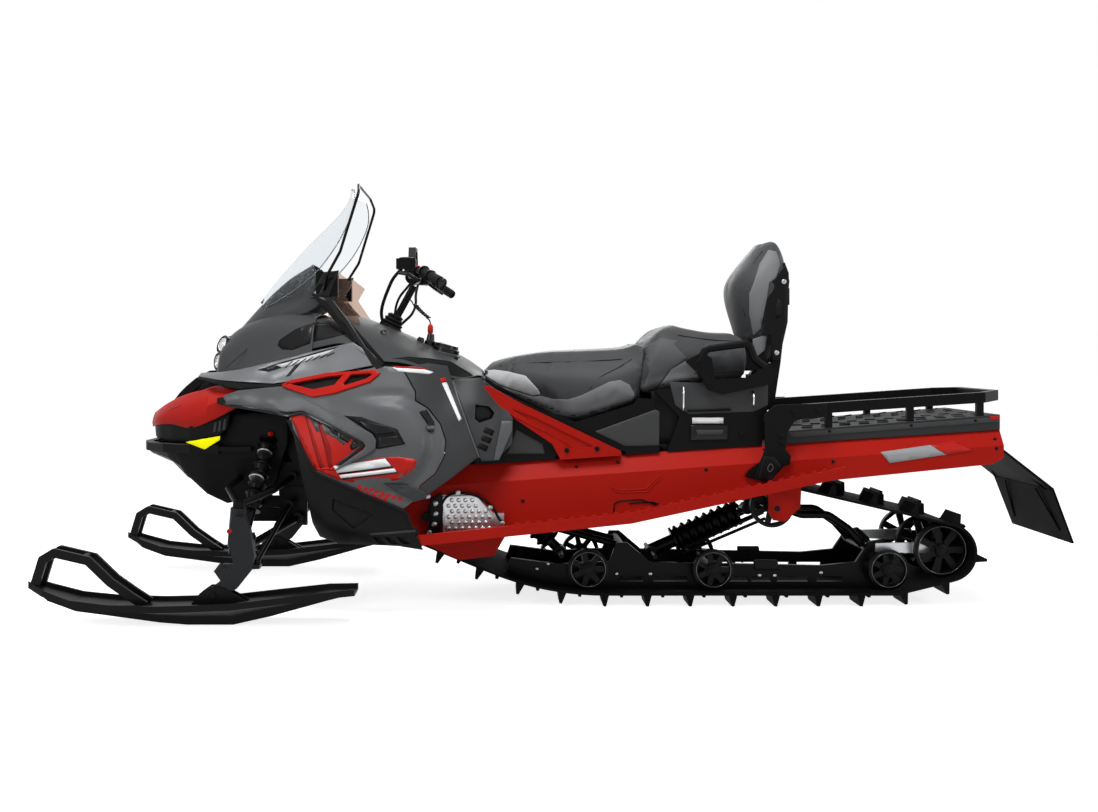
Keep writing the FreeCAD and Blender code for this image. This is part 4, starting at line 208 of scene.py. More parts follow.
def turned(name, profile, places, material, facing=(0, 1, 0), body="chassis", around=16, sides=(1, -1)):
    """Turned pieces at places in millimetres: a profile of (radius, height) spun about the way they face."""
    shape = bmesh.new()
    for x, y, z in places:
        for side in sides:
            out = Vector((facing[0], side * facing[1], facing[2])).normalized()
            right = out.orthogonal().normalized()
            up = out.cross(right)
            foot = Vector((x, side * y, z))
            rings = []
            for radius, height in profile:
                ring = []
                for i in range(around):
                    turn = math.tau * i / around
                    spoke = right * math.cos(turn) + up * math.sin(turn)
                    ring.append(shape.verts.new((foot + out * height + spoke * radius) / 1000))
                rings.append(ring)
            for low, high in zip(rings, rings[1:]):
                for i in range(around):
                    shape.faces.new((low[i], low[i - 1], high[i - 1], high[i]))
            shape.faces.new(rings[0])
            shape.faces.new(rings[-1])
    mesh = bpy.data.meshes.new(name)
    bmesh.ops.recalc_face_normals(shape, faces=shape.faces)
    shape.to_mesh(mesh)
    shape.free()
    mesh.materials.append(material)
    mesh.shade_smooth()
    mesh.set_sharp_from_angle(angle=math.radians(40))
    made = placed(name, mesh)
    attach(made, body)
    return made


def bead(name, runs, radius, material, body="chassis", sides=(1, -1), closed=False, bent=False):
    """Round beads, seams or wires along smooth lines of points in millimetres, or lines bent at each point."""
    line = bpy.data.curves.new(name, "CURVE")
    line.dimensions = "3D"
    line.bevel_depth = radius / 1000
    line.bevel_resolution = 2
    line.resolution_u = 6
    line.use_fill_caps = True
    line.materials.append(material)
    for run in runs:
        for side in sides:
            spline = line.splines.new("POLY" if bent else "NURBS")
            spline.points.add(len(run) - 1)
            for point, (x, y, z) in zip(spline.points, run):
                point.co = (x / 1000, side * y / 1000, z / 1000, 1)
            spline.use_cyclic_u = closed
            if not bent:
                spline.order_u = 3
                spline.use_endpoint_u = not closed
    made = placed(name, line)
    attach(made, body)
    return made


tunnel_red = finish("tunnel_red", "96170f", 0.42, grain=0.12, grain_size=420, shine=0.06)
tread_metal = finish("tread_metal", "b4b6b8", 0.3, metal=1.0, grain=0.3, grain_size=700)
dress(tunnel_red, "tunnel", "tunnel_braces", "running_boards")
dress(tread_metal, "tread_plates")
bolt_black = finish("bolt_black", "08080a", 0.3, metal=0.4, grain=0.1)
bolt_steel = finish("bolt_steel", "9a9c9e", 0.3, metal=1.0, grain=0.1)
turned("brace_bolts", BOLT, [(2, 270, 538), (-101, 270, 544)], bolt_black)
bead("brace_fold", [[(250, 271, 690), (120, 271, 622), (-20, 271, 556)]], 1.6, tunnel_red)

# ==== Frame, engine, track and rear suspension ====
# The moulded rubber track with its drive sprockets and wheels, the slide rails that it runs
# on, and the arms and coil-over shocks that hold them; the engine block sits ahead.
track_rubber = finish("track_rubber", "070708", 0.7, grain=0.5, grain_size=160, shade=0.2, shine=0.06)
wheel_plastic = finish("wheel_plastic", "060607", 0.42, grain=0.2, shine=0.1)
black_steel = finish("black_steel", "050506", 0.34, grain=0.2, grain_size=500, shine=0.08)
engine_casting = finish("engine_casting", "3c3e40", 0.6, metal=0.7, grain=0.8, grain_size=260)
bare_aluminium = finish("bare_aluminium", "b0b2b4", 0.34, metal=1.0, grain=0.2, grain_size=700)
dress(track_rubber, "track")
dress(wheel_plastic, "drive_sprockets", "idler_wheels", "rear_wheels")
dress(black_steel, "slide_rails", "front_swing_arm", "rear_swing_arm", "centre_skid_shock", "rear_skid_shock")
dress(black_steel, "bulkhead", "frame_pyramid")
dress(engine_casting, "engine_block")
dress(bare_aluminium, "axle_adjusters")

# ==== Front suspension, spindles and skis ====
# Forged black arms and coil-over shocks bolted to the frame, grey painted spindles on king
# pins, and moulded plastic skis, each on one bolt.
spindle_paint = finish("spindle_paint", "1c1d1f", 0.42, metal=0.2, grain=0.3, shine=0.15)
ski_plastic = finish("ski_plastic", "070708", 0.4, grain=0.3, grain_size=260, shine=0.1)
dress(black_steel, "front_arms", "front_shocks", "tie_rods", "steering_post")
dress(spindle_paint, "spindle_left", "spindle_right")
dress(ski_plastic, "ski_left", "ski_right")

# ==== Side bodywork ====
# The moulded side panels: one flowing surface on each side, cut into a painted side panel,
# a silver hood strip, a black lower guard and a knee panel, with graphics and vents on it.
FLANK_RIBS = {
    # x of a rib: its (z, y) from the lower edge to the upper edge, in millimetres
    1288: [(760, 190), (790, 150), (806, 90)],
    1200: [(690, 284), (715, 276), (740, 266), (776, 246), (806, 200)],
    1120: [(684, 300), (712, 304), (735, 296), (772, 270), (815, 250)],
    1000: [(600, 352), (664, 338), (700, 338), (740, 322), (768, 296), (842, 284)],
    940: [(352, 372), (470, 384), (560, 388), (652, 368), (690, 352), (745, 334), (790, 304), (856, 290)],
    870: [(300, 370), (380, 404), (480, 412), (560, 402), (650, 376), (750, 350), (790, 322), (874, 302)],
    800: [(258, 388), (300, 416), (420, 424), (486, 424), (640, 398), (750, 366), (800, 330), (890, 304)],
    700: [(242, 402), (280, 432), (360, 438), (470, 434), (610, 424), (740, 384), (822, 340), (890, 316)],
    600: [(240, 418), (262, 436), (330, 441), (452, 434), (600, 430), (735, 388), (830, 343), (850, 337)],
    500: [(228, 430), (300, 440), (442, 434), (590, 428), (720, 372), (812, 322), (850, 300)],
    430: [(400, 430), (446, 427), (560, 414), (690, 352), (792, 300), (830, 282)],
    370: [(405, 402), (560, 380), (680, 340), (776, 276)],
    290: [(500, 340), (600, 330), (700, 310), (792, 252)],
    240: [(506, 322), (600, 305), (650, 288), (730, 250)],
    186: [(560, 300), (610, 292), (640, 284), (655, 278)],
}
rib_points = [(x, z, y) for x, rib in FLANK_RIBS.items() for z, y in rib]
rib_places = numpy.array([(x, z) for x, z, _ in rib_points], float) / 1000
rib_depths = numpy.array([y for _, _, y in rib_points], float) / 1000


def thin_plate(square):
    """The bending kernel of a thin plate, from squared distances."""
    return square * numpy.log(square + 1e-12)


span = ((rib_places[:, None, :] - rib_places[None, :, :]) ** 2).sum(-1)
count = len(rib_points)
system = numpy.zeros((count + 3, count + 3))
system[:count, :count] = thin_plate(span) + 0.0004 * numpy.eye(count)
system[:count, count] = system[count, :count] = 1
system[:count, count + 1 :] = rib_places
system[count + 1 :, :count] = rib_places.T
flank_weights = numpy.linalg.solve(system, numpy.append(rib_depths, (0, 0, 0)))


def ease(value):
    """A soft step from 0 to 1."""
    value = min(1.0, max(0.0, value))
    return value * value * (3 - 2 * value)


# The clutch cover's bulge ends in a round shoulder at its rear, with a groove round it.
COVER_X, COVER_Z, COVER_BULGE, COVER_GROOVE = 0.590, 0.580, 0.015, 0.006


def flank(x, z):
    """How far the side bodywork stands from the centre plane at a place, in metres."""
    away = ((rib_places - (x, z)) ** 2).sum(-1)
    depth = flank_weights[:count] @ thin_plate(away) + flank_weights[count:] @ (1, x, z)
    round_off = math.hypot(min(0.0, x - COVER_X) / 0.122, (z - COVER_Z) / 0.132)
    fade = ease((0.760 - x) / 0.16)
    bulge = COVER_BULGE * ease((1.04 - round_off) / 0.14)
    groove = -COVER_GROOVE * ease(1 - abs(round_off - 1.16) / 0.14)
    return depth + (bulge + groove) * fade


def inside(place, outline):
    """Whether a 2-D place lies inside a closed outline."""
    x, z = place
    crossings = 0
    for (x1, z1), (x2, z2) in zip(outline, outline[1:] + outline[:1]):
        if (z1 > z) != (z2 > z) and x < x1 + (z - z1) * (x2 - x1) / (z2 - z1):
            crossings += 1
    return crossings % 2 == 1


def resampled(outline, step):
    """A closed outline with points no further apart than a step."""
    points = []
    for a, b in zip(outline, outline[1:] + outline[:1]):
        parts = max(1, math.ceil(math.dist(a, b) / step))
        points += [(a[0] + (b[0] - a[0]) * i / parts, a[1] + (b[1] - a[1]) * i / parts) for i in range(parts)]
    return points


def walled(made, thick, bevel=0):
    """Give a thin sheet its thickness and round its edges, in millimetres."""
    wall = made.modifiers.new("wall", "SOLIDIFY")
    wall.thickness = thick / 1000
    wall.offset = -1
    if bevel:
        edge = made.modifiers.new("edge", "BEVEL")
        edge.width = bevel / 1000
        edge.segments = 2
        edge.limit_method = "ANGLE"
        edge.angle_limit = math.radians(50)


def moulding(name, outline, surface, material, lift=0.0, thick=4, bevel=0.8, step=14, holes=()):
    """A moulded or cut sheet: an (x, z) outline in millimetres laid over a side surface, both sides."""
    loops = [resampled([(x / 1000, z / 1000) for x, z in loop], step / 1000) for loop in (outline, *holes)]
    flat, edges = [], []
    for loop in loops:
        first = len(flat)
        flat += loop
        edges += [(first + i, first + (i + 1) % len(loop)) for i in range(len(loop))]
    rim = len(flat)
    low_x, high_x = min(p[0] for p in loops[0]), max(p[0] for p in loops[0])
    low_z, high_z = min(p[1] for p in loops[0]), max(p[1] for p in loops[0])
    pitch = step / 1000
    clear_of_rim = 0.55 * pitch
    for i in range(int((high_x - low_x) / pitch) + 1):
        for j in range(int((high_z - low_z) / pitch) + 1):
            place = (low_x + (i + 0.5) * pitch, low_z + (j + 0.5) * pitch)
            if inside(place, loops[0]) and not any(inside(place, loop) for loop in loops[1:]):
                if min(math.dist(place, flat[k]) for k in range(rim)) > clear_of_rim:
                    flat.append(place)
    vectors = [Vector(p) for p in flat]
    places, _, faces, *_ = delaunay_2d_cdt(vectors, edges, [], 1, 1e-6)
    middles = [sum((places[k] for k in face), Vector((0, 0))) / len(face) for face in faces]
    faces = [
        face for face, middle in zip(faces, middles) if not any(inside(middle, hole) for hole in loops[1:])
    ]
    vertices, shapes = [], []
    for side in (1, -1):
        first = len(vertices)
        vertices += [(p.x, side * (surface(p.x, p.y) + lift / 1000), p.y) for p in places]
        shapes += [tuple(first + k for k in face[::-side]) for face in faces]
    mesh = bpy.data.meshes.new(name)
    mesh.from_pydata(vertices, [], shapes)
    mesh.materials.append(material)
    mesh.shade_smooth()
    made = placed(name, mesh)
    walled(made, thick, bevel)
    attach(made, "chassis")
    return made


# The usual sheets: thickness, bevel and step of the mesh, in millimetres.
DECAL, FINE_DECAL, BACKING, COVERING = (1, 0, 14), (1, 0, 8), (2, 0, 14), (4, 1.5, 10)


def plates(rows):
    """Mouldings of one slot. A row: name, surface, finish, lift, thickness, bevel, step and outline."""
    for name, surface, material, lift, thick, bevel, step, outline in rows:
        moulding(name, outline, surface, material, lift, thick, bevel, step)


frame_red = finish("frame_red", "9e1811", 0.36, shine=0.08, wear=0.1)
strip_silver = finish("strip_silver", "66686a", 0.34, metal=0.25, grain=0.1, grain_size=620, coat=0.1)
guard_black = finish("guard_black", "070708", 0.42, grain=0.35, grain_size=560, wear=0.1, shine=0.1)
side_grey = finish("side_grey", "4c4d4f", 0.44, metal=0.15, grain=0.15, grain_size=620, coat=0.04)
side_charcoal = finish("side_charcoal", "303132", 0.42, metal=0.1, grain=0.3, grain_size=620)
blade_silver = finish("blade_silver", "4a4b4d", 0.42, metal=0.2, grain=0.1, grain_size=620, coat=0.05)
decal_red = finish("decal_red", "a01a14", 0.36, shade=0.1)
decal_dark_red = finish("decal_dark_red", "7c120d", 0.36, shade=0.12)
decal_white = finish("decal_white", "d6d7d8", 0.34, shade=0.03)
gloss_black = finish("gloss_black", "060607", 0.3, coat=0.2)
vent_black = finish("vent_black", "050506", 0.6, grain=0.4)

INTAKE = [
    (965, 765), (939, 779), (811, 805), (645, 815), (628, 804), (661, 775), (779, 737), (853, 724), (960, 757),
]
INTAKE_HOLE = [(950, 762), (935, 770), (808, 796), (660, 806), (645, 800), (668, 784), (782, 747), (853, 735)]
SIDE_PANEL = [
    (1186, 704), (1164, 727), (1118, 743), (969, 758), (900, 772), (811, 790), (720, 808), (640, 824),
    (628, 826), (560, 822), (512, 740), (512, 711), (470, 685), (428, 633), (410, 580), (415, 528), (444, 475),
    (490, 440), (511, 388), (545, 362), (758, 450), (837, 484), (932, 642), (926, 664), (1057, 684),
    (1150, 694),
]
moulding("side_panel", SIDE_PANEL, flank, side_grey, holes=[INTAKE_HOLE])
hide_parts("side_panels")

STREAKS = [
    [(918, 646), (908, 642), (846, 512), (838, 492), (848, 494), (862, 512)],
    [(880, 666), (872, 664), (806, 498), (820, 492)],
    [(834, 642), (822, 640), (784, 560), (778, 500), (790, 492), (806, 560)],
]
for i, streak in enumerate(STREAKS):
    moulding(f"side_streak_{i}", streak, flank, decal_dark_red, lift=1.2, thick=1, bevel=0)
SHARDS = [
    [(806, 640), (768, 624), (760, 596), (782, 606)], [(752, 614), (712, 596), (728, 576), (758, 590)],
    [(706, 590), (686, 580), (684, 568), (716, 552), (722, 566)],
]
for i, shard in enumerate(SHARDS):
    moulding(f"side_shard_{i}", shard, flank, gloss_black, lift=1.4, thick=1, bevel=0)

BANDS = [[(776, 500), (604, 527), (584, 503), (762, 478)], [(756, 471), (574, 495), (566, 484), (750, 461)]]
for i, band in enumerate(BANDS):
    moulding(
        f"side_band_shadow_{i}", [(x - 7, z - 5) for x, z in band], flank, gloss_black,
        lift=1.2, thick=1, bevel=0,
    )
    moulding(f"side_band_{i}", band, flank, decal_white, lift=1.6, thick=1, bevel=0)
cells = [(690 - 19 * i - 9 * (j % 2), 433 - 5.6 * i - 16 * j) for j in range(3) for i in range(8 - j)]
cells = [(x, flank(x / 1000, z / 1000) * 1000 + 0.4, z) for x, z in cells if z > 390]
turned("side_honeycomb", [(8, 0), (8, 0.8), (4, 0.8)], cells, decal_red, around=6)

frame_hole_front = [(936, 768), (808, 792), (756, 797), (782, 765), (853, 750), (900, 760)]
frame_hole_rear = [(728, 799), (664, 803), (655, 799), (676, 786), (745, 764), (752, 770)]
intake_frame = moulding(
    "intake_frame", INTAKE, flank, frame_red, lift=7, thick=12,
    holes=[frame_hole_front, frame_hole_rear], bevel=2.2, step=8,
)
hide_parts("intake_frames")

STRIP_LOW = [(1288, 788), (1200, 779), (1120, 773), (1000, 767), (935, 776), (850, 796), (754, 810), (632, 834)]
STRIP_HIGH = [
    (622, 842), (726, 906), (764, 898), (870, 874), (1000, 840), (1120, 814), (1200, 804), (1288, 800),
]
hood_strip = moulding("hood_strip", STRIP_LOW + STRIP_HIGH, flank, strip_silver, step=10)
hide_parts("hood")
strip_pale = finish("strip_pale", "b4b6b8", 0.3, metal=0.2, shade=0.12)
plates([
    ("strip_graphic", flank, gloss_black, 0.7, *FINE_DECAL, [
        (1056, 812), (957, 843), (774, 893), (817, 869), (1015, 806),
    ]),
    ("strip_mesh", flank, strip_pale, 1.2, *FINE_DECAL, [
        (990, 829), (957, 837), (788, 884), (811, 868), (864, 847), (968, 820),
    ]),
])
for i in range(7):
    x = 960 - 24 * i
    low = 826 + (955 - x) * 0.27
    scratch = [(x, low - 4), (x - 26, low + 18 - 1.5 * i), (x - 30, low + 17 - 1.5 * i), (x - 4, low - 5)]
    moulding(
        f"strip_line_{i}", scratch, flank, gloss_black, lift=1.6, thick=1, bevel=0, step=8,
    )

GUARD = [
    (934, 644), (834, 478), (758, 443), (532, 350), (508, 292), (482, 226), (560, 238), (656, 240), (758, 240),
    (827, 262), (850, 308), (858, 360), (879, 454), (900, 550), (924, 650),
]
GUARD_RECESS = [(777, 394), (641, 345), (709, 295), (779, 358)]
SLATS = [[(x, 270), (x - 24, 270), (x - 46, 246), (x - 20, 246)] for x in (648, 608, 568)]
guard = moulding(
    "lower_guard", GUARD, flank, guard_black, lift=3, thick=6, holes=[GUARD_RECESS] + SLATS,
    bevel=2, step=11,
)
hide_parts("lower_guards")
plates([
    # Painted shade: this charcoal rear part of the side panel darkens the concave valley behind the clutch
    # cover's bulge, where shade falls.
    ("side_panel_rear_shade", flank, side_charcoal, 0, 4, 0.8, 14, [
        (556, 822), (474, 836), (408, 826), (392, 774), (372, 728), (340, 638), (299, 524), (384, 462),
        (469, 406), (508, 390), (487, 438), (441, 473), (412, 527), (407, 581), (425, 635), (467, 688),
        (508, 713), (508, 741),
    ]),
    ("side_ledge", flank, side_charcoal, 9, 9, 3, 10, [
        (610, 441), (532, 441), (471, 415), (471, 396), (508, 386), (563, 416),
    ]),
    ("guard_rib", flank, side_charcoal, 6, 5, 1.5, 14, [(657, 281), (507, 294), (504, 287), (651, 275)]),
])

KNEE = [
    (396, 780), (388, 768), (369, 726), (337, 636), (296, 520), (290, 508), (247, 508), (188, 562), (186, 648),
    (240, 726), (296, 786), (340, 784),
]
HEX = [(312, 697), (266, 689), (248, 667), (256, 649), (298, 636), (314, 649)]
knee = moulding("knee_panel", KNEE, flank, side_charcoal, holes=[HEX], step=10)
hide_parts("knee_panels")
plates([
    ("side_vent", flank, vent_black, 0.8, *BACKING, [
        (744, 664), (686, 661), (565, 622), (538, 574), (623, 558), (640, 560), (638, 592), (652, 610),
    ]),
    ("intake_mesh", flank, vent_black, -9, *BACKING, INTAKE_HOLE),
    ("hood_trim", flank, vent_black, -4, 3, 0, 10, [
        (1290, 790), (1200, 781), (1120, 775), (1000, 769), (948, 778), (965, 758), (1050, 750), (1110, 746),
        (1164, 754), (1200, 764), (1288, 782),
    ]),
    ("panel_nose_cap", flank, vent_black, 2.5, 8, 2, 8, [(1192, 717), (1192, 699), (1158, 692), (1158, 724)]),
    ("side_liner", flank, vent_black, -13, *BACKING, [
        (640, 846), (540, 858), (470, 852), (400, 842), (330, 800), (290, 760), (340, 640), (400, 560),
        (470, 470), (530, 450), (560, 560), (620, 780),
    ]),
    ("guard_recess", flank, vent_black, -3, *BACKING, [(790, 405), (624, 350), (706, 284), (791, 353)]),
    ("guard_liner", flank, vent_black, -8, *BACKING, [(680, 300), (500, 300), (495, 236), (660, 244)]),
    ("guard_edge", flank, guard_black, 7, 6, 2, 14, [
        (940, 650), (934, 648), (832, 482), (756, 450), (532, 356), (510, 296), (518, 296), (540, 348),
        (760, 440), (838, 472),
    ]),
    ("knee_recess", flank, vent_black, -8, *BACKING, HEX),
])
for i, (x, z) in enumerate(((272, 604), (280, 578), (292, 553))):
    moulding(
        f"knee_vent_{i}", [(x - 24, z + 4), (x + 8, z + 18), (x + 14, z), (x - 16, z - 14)], flank, vent_black,
        lift=0.8, thick=1, bevel=0,
    )

plates([
    ("side_blade", flank, blade_silver, 10, 11, 3.5, 10, [
        (1168, 722), (1118, 740), (969, 754), (889, 725), (786, 674), (648, 608), (634, 588), (636, 559),
        (665, 539), (774, 483), (754, 501), (676, 555), (668, 568), (676, 581), (783, 633), (885, 679),
        (940, 674), (1057, 688), (1154, 698),
    ]),
    # Painted shade: a black band under the blade stands for the shaded underside of its chamfer.
    ("side_blade_under_shade", flank, gloss_black, 5, 6, 1.5, 8, [
        (1172, 704), (1154, 698), (1057, 688), (940, 674), (885, 679), (783, 633), (676, 581), (672, 568),
        (692, 552), (754, 501), (766, 504), (702, 556), (688, 570), (692, 578), (790, 624), (888, 666),
        (938, 658), (1057, 676), (1150, 688),
    ]),
    ("side_red_field", flank, decal_red, 0.7, *DECAL, [
        (928, 660), (887, 676), (783, 632), (677, 580), (669, 568), (677, 556), (755, 502), (775, 484),
        (836, 488),
    ]),
    ("side_ash", flank, blade_silver, 1, *DECAL, [
        (862, 654), (812, 642), (764, 618), (722, 592), (742, 568), (770, 590), (806, 606), (836, 612),
    ]),
    ("side_lower_red", flank, decal_red, 0.7, *DECAL, [
        (838, 492), (770, 500), (725, 508), (660, 522), (600, 532), (560, 533), (500, 524), (508, 494),
        (552, 460), (604, 446), (700, 446), (758, 455), (834, 488),
    ]),
    ("side_vent_upper", flank, gloss_black, 5, 5, 1.5, 14, [
        (690, 648), (604, 634), (574, 614), (634, 608), (668, 624),
    ]),
    ("side_vent_lower", flank, gloss_black, 5, 5, 1.5, 14, [(624, 596), (565, 600), (547, 576), (626, 564)]),
    ("strip_slash", flank, gloss_black, 0.9, *DECAL, [(954, 790), (922, 831), (905, 833), (940, 793)]),
    ("blank_label", flank, decal_white, 1, *FINE_DECAL, [
        (591, 823), (500, 820), (453, 805), (468, 799), (570, 809),
    ]),
    ("blank_label_edge", flank, decal_red, 1.4, *FINE_DECAL, [
        (588, 826), (500, 823), (470, 814), (500, 816), (580, 821),
    ]),
    ("side_label", flank, decal_white, 1, *FINE_DECAL, [(432, 782), (416, 785), (358, 650), (366, 642)]),
    ("side_label_tip", flank, decal_red, 1.4, *FINE_DECAL, [(433, 784), (415, 787), (409, 772), (427, 768)]),
    # A raised edge along the crease, partly real shape and partly painted highlight: its paler silver stands
    # for the light caught along the crease.
    ("rear_crease_highlight", flank, blade_silver, 2.5, 3, 1, 14, [
        (392, 774), (386, 774), (370, 726), (338, 636), (296, 520), (302, 520), (344, 636), (376, 726),
    ]),
    ("knee_blade", flank, blade_silver, 5, 6, 2, 14, [
        (224, 640), (188, 640), (188, 606), (232, 510), (250, 510),
    ]),
    ("cover_latch", flank, gloss_black, 10, 10, 3, 8, [
        (494, 678), (474, 686), (446, 643), (448, 612), (462, 614), (466, 640),
    ]),
    ("cover_catch", flank, blade_silver, 12, 6, 1.5, 8, [(470, 632), (446, 630), (444, 620), (468, 620)]),
])
turned("panel_screws", BOLT, [(318, 336, 524), (1020, 330, 700)], bolt_black)

# ==== Footwells ====
# Bright dimpled tread plates ahead of each footboard, clamped by a black bracket, with a black
# rim bead round each plate's edge.

def level(depth):
    """A flat side surface so far out from the centre plane, in millimetres."""
    return lambda x, z: depth / 1000


TREAD = [(424, 383), (310, 388), (250, 312), (253, 269), (408, 256), (421, 283), (416, 315), (427, 342)]
moulding("tread_facing", TREAD, level(291), tread_metal, thick=3, bevel=1)
DIMPLE = [(7.5, 0), (6.6, 1.8), (4.2, 3.2), (1.5, 3.6)]
dimples = [(404 - 23 * i - 11 * (j % 2), 291, 276 + 19 * j) for j in range(6) for i in range(7)]
dimples = [(x, y, z) for x, y, z in dimples if inside((x + 9, z), TREAD) and inside((x - 9, z), TREAD)]
turned("tread_dimples", DIMPLE, dimples, tread_metal, around=12)
FOOT_BRACKET = [(464, 375), (429, 399), (422, 342), (432, 261), (470, 248), (470, 342)]
moulding("foot_bracket", FOOT_BRACKET, level(296), guard_black, thick=8, bevel=2)
turned("foot_bolts", BOLT, [(448, 296, 360), (452, 296, 290), (447, 296, 325)], bolt_steel)
TREAD_RIM = [
    (442, 292, 268), (440, 292, 394), (316, 292, 396), (246, 292, 344), (240, 292, 314), (216, 292, 288),
]
bead("tread_rim", [TREAD_RIM], 4.5, bolt_black)
turned(
    "tread_bolts", BOLT, [(372, 294, 396), (262, 294, 346), (222, 294, 292), (468, 294, 262), (474, 294, 384)],
    bolt_steel,
)

# ==== Tunnel fittings ====
# Bolts along the tunnel's upper fold, a pressed recess in each wall, the clips that hold the
# footboards and a plain two-colour stripe behind the rack's stay.

def over(piece, lift=0.0, reach=0.6):
    """How far a piece stands from the centre plane at a place, for panels laid on its side."""
    tree = BVHTree.FromObject(piece, bpy.context.evaluated_depsgraph_get())

    def surface(x, z):
        hit = tree.ray_cast(Vector((x, reach, z)), Vector((0, -1, 0)))[0]
        if hit is None:
            hit = tree.find_nearest(Vector((x, 0.25, z)))[0]
        return hit.y + lift

    return surface


on_tunnel = over(nodes["tunnel"])


def laid(surface, run, lift=0.0):
    """Points of a run in millimetres, laid on a side surface."""
    return [(x, surface(x / 1000, z / 1000) * 1000 + lift, z) for x, z in run]


TUNNEL_BOLTS = [(-32, 480), (-174, 495), (-472, 473), (-905, 500), (-1462, 545), (-1462, 575), (152, 366)]
turned(
    "tunnel_bolts", [(6, 0), (6, 1.4), (4.4, 3), (1, 3.4)], laid(on_tunnel, TUNNEL_BOLTS), bolt_black,
)
RECESS = [
    [(-150, 414), (-176, 402), (-268, 406), (-296, 434), (-318, 452)],
    [(-150, 406), (-178, 394), (-272, 398), (-300, 428), (-322, 446)],
]
bead("tunnel_pressing", [laid(on_tunnel, run, -0.4) for run in RECESS], 2.4, tunnel_red, bent=True)
CLIP = [
    [(-158, 328), (-160, 356), (-180, 367), (-252, 370), (-303, 352)], [(-210, 358), (-290, 362), (-330, 348)],
]
bead("board_clips", [laid(on_tunnel, run, 0.5) for run in CLIP], 2.6, bolt_black, bent=True)
stripe_grey = finish("stripe_grey", "8a8b8d", 0.4, shade=0.05)
plates([
    ("tunnel_stripe", on_tunnel, stripe_grey, 2, 2, 0, 10, [
        (-1068, 532), (-1326, 568), (-1379, 537), (-1097, 495),
    ]),
    ("tunnel_stripe_end", on_tunnel, decal_red, 2.6, 2, 0, 10, [
        (-1240, 556), (-1326, 568), (-1379, 537), (-1290, 524), (-1262, 540),
    ]),
])

# ==== Front cowl ====
# The charcoal moulded cowl over the lamps: one arched shell from side to side, with a sunk
# black window panel on each side.

def smooth_run(points, parts):
    """Points along a smooth line through the points given."""
    ends = [2 * points[0] - points[1], *points, 2 * points[-1] - points[-2]]
    line = []
    for a, b, c, d in zip(ends, ends[1:], ends[2:], ends[3:]):
        for i in range(parts):
            t = i / parts
            bend = (2 * a - 5 * b + 4 * c - d) * t * t + (3 * b - a - 3 * c + d) * t**3
            line.append((2 * b + (c - a) * t + bend) / 2)
    return line + [points[-1]]


def join_skin(name, grid, material, closed=False, capped=False):
    """One skin over a grid of points."""
    wide = len(grid[0])
    faces = []
    for row in range(len(grid) - 1):
        for i in range(wide if closed else wide - 1):
            a, b = row * wide + i, row * wide + (i + 1) % wide
            faces.append((a, b, b + wide, a + wide))
    if capped:
        faces += [tuple(range(wide))[::-1], tuple(range((len(grid) - 1) * wide, len(grid) * wide))]
    mesh = bpy.data.meshes.new(name)
    mesh.from_pydata([point for row in grid for point in row], [], faces)
    mesh.materials.append(material)
    mesh.shade_smooth()
    made = placed(name, mesh)
    tidy_faces = bmesh.new()
    tidy_faces.from_mesh(mesh)
    bmesh.ops.recalc_face_normals(tidy_faces, faces=tidy_faces.faces)
    tidy_faces.to_mesh(mesh)
    tidy_faces.free()
    return made


def arched(name, halves, material, across=6, along=6, thick=3, bevel=1):
    """A shell arched over the centre plane; each half section runs from its left edge to the middle."""
    rows = []
    for half in halves:
        left = [Vector(p) / 1000 for p in half]
        right = [Vector((p.x, -p.y, p.z)) for p in reversed(left) if p.y > 1e-6]
        rows.append(smooth_run(left + right, across))
    columns = [smooth_run(list(column), along) for column in zip(*rows)]
    made = join_skin(name, [list(row) for row in zip(*columns)], material)
    middle = sum((v.co for v in made.data.vertices), Vector()) / len(made.data.vertices)
    out = sum((f.normal.dot(f.center - middle) for f in made.data.polygons))
    if out < 0:
        made.data.flip_normals()
    walled(made, thick, bevel)
    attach(made, "chassis")
    return made


cowl_charcoal = finish("cowl_charcoal", "363738", 0.46, grain=0.3, grain_size=620, wear=0.1)
FRONT_COWL = {
    # x of a rib: its (y, z) from the lower edge over the shoulder to the middle of the top
    1226: [(150, 800), (118, 838), (68, 864), (20, 870), (0, 871)],
    1200: [(196, 803), (176, 868), (122, 905), (60, 925), (0, 932)],
    1120: [(248, 813), (205, 898), (165, 948), (110, 972), (0, 984)],
    1000: [(280, 840), (238, 938), (190, 985), (130, 1010), (0, 1024)],
    900: [(297, 866), (258, 948), (214, 984), (150, 1004), (0, 1014)],
    866: [(300, 874), (262, 950), (215, 985), (150, 1000), (0, 1008)],
}
front_cowl = arched("cowl_shell", [[(x, y, z) for y, z in rib] for x, rib in FRONT_COWL.items()], cowl_charcoal)
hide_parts("front_cowl")
on_cowl = over(front_cowl)
COWL_WINDOW = [(990, 896), (984, 914), (930, 952), (864, 976), (864, 906), (934, 880), (972, 882)]
moulding("cowl_window", COWL_WINDOW, on_cowl, vent_black, lift=0.6, thick=1.5, bevel=0)
moulding(
    "cowl_window_upper", [(878, 909), (872, 970), (900, 962), (912, 930)], on_cowl, gloss_black,
    lift=2.5, thick=3, bevel=1,
)

# ==== Windshield cowl ====
# The charcoal moulding that the screen stands on: one thin shell, swept back to a peak ahead
# of the handlebar and clipped to the front cowl.

def swept(centre_x, centre_z, half, back, drop):
    """Half a section of a swept arch, from its left end to the middle."""
    shape = [(1.0, 1.0, 1.0), (0.93, 0.66, 0.62), (0.72, 0.34, 0.26), (0.4, 0.1, 0.06), (0, 0, 0)]
    return [(centre_x - back * b, half * w, centre_z - drop * d) for w, b, d in shape]


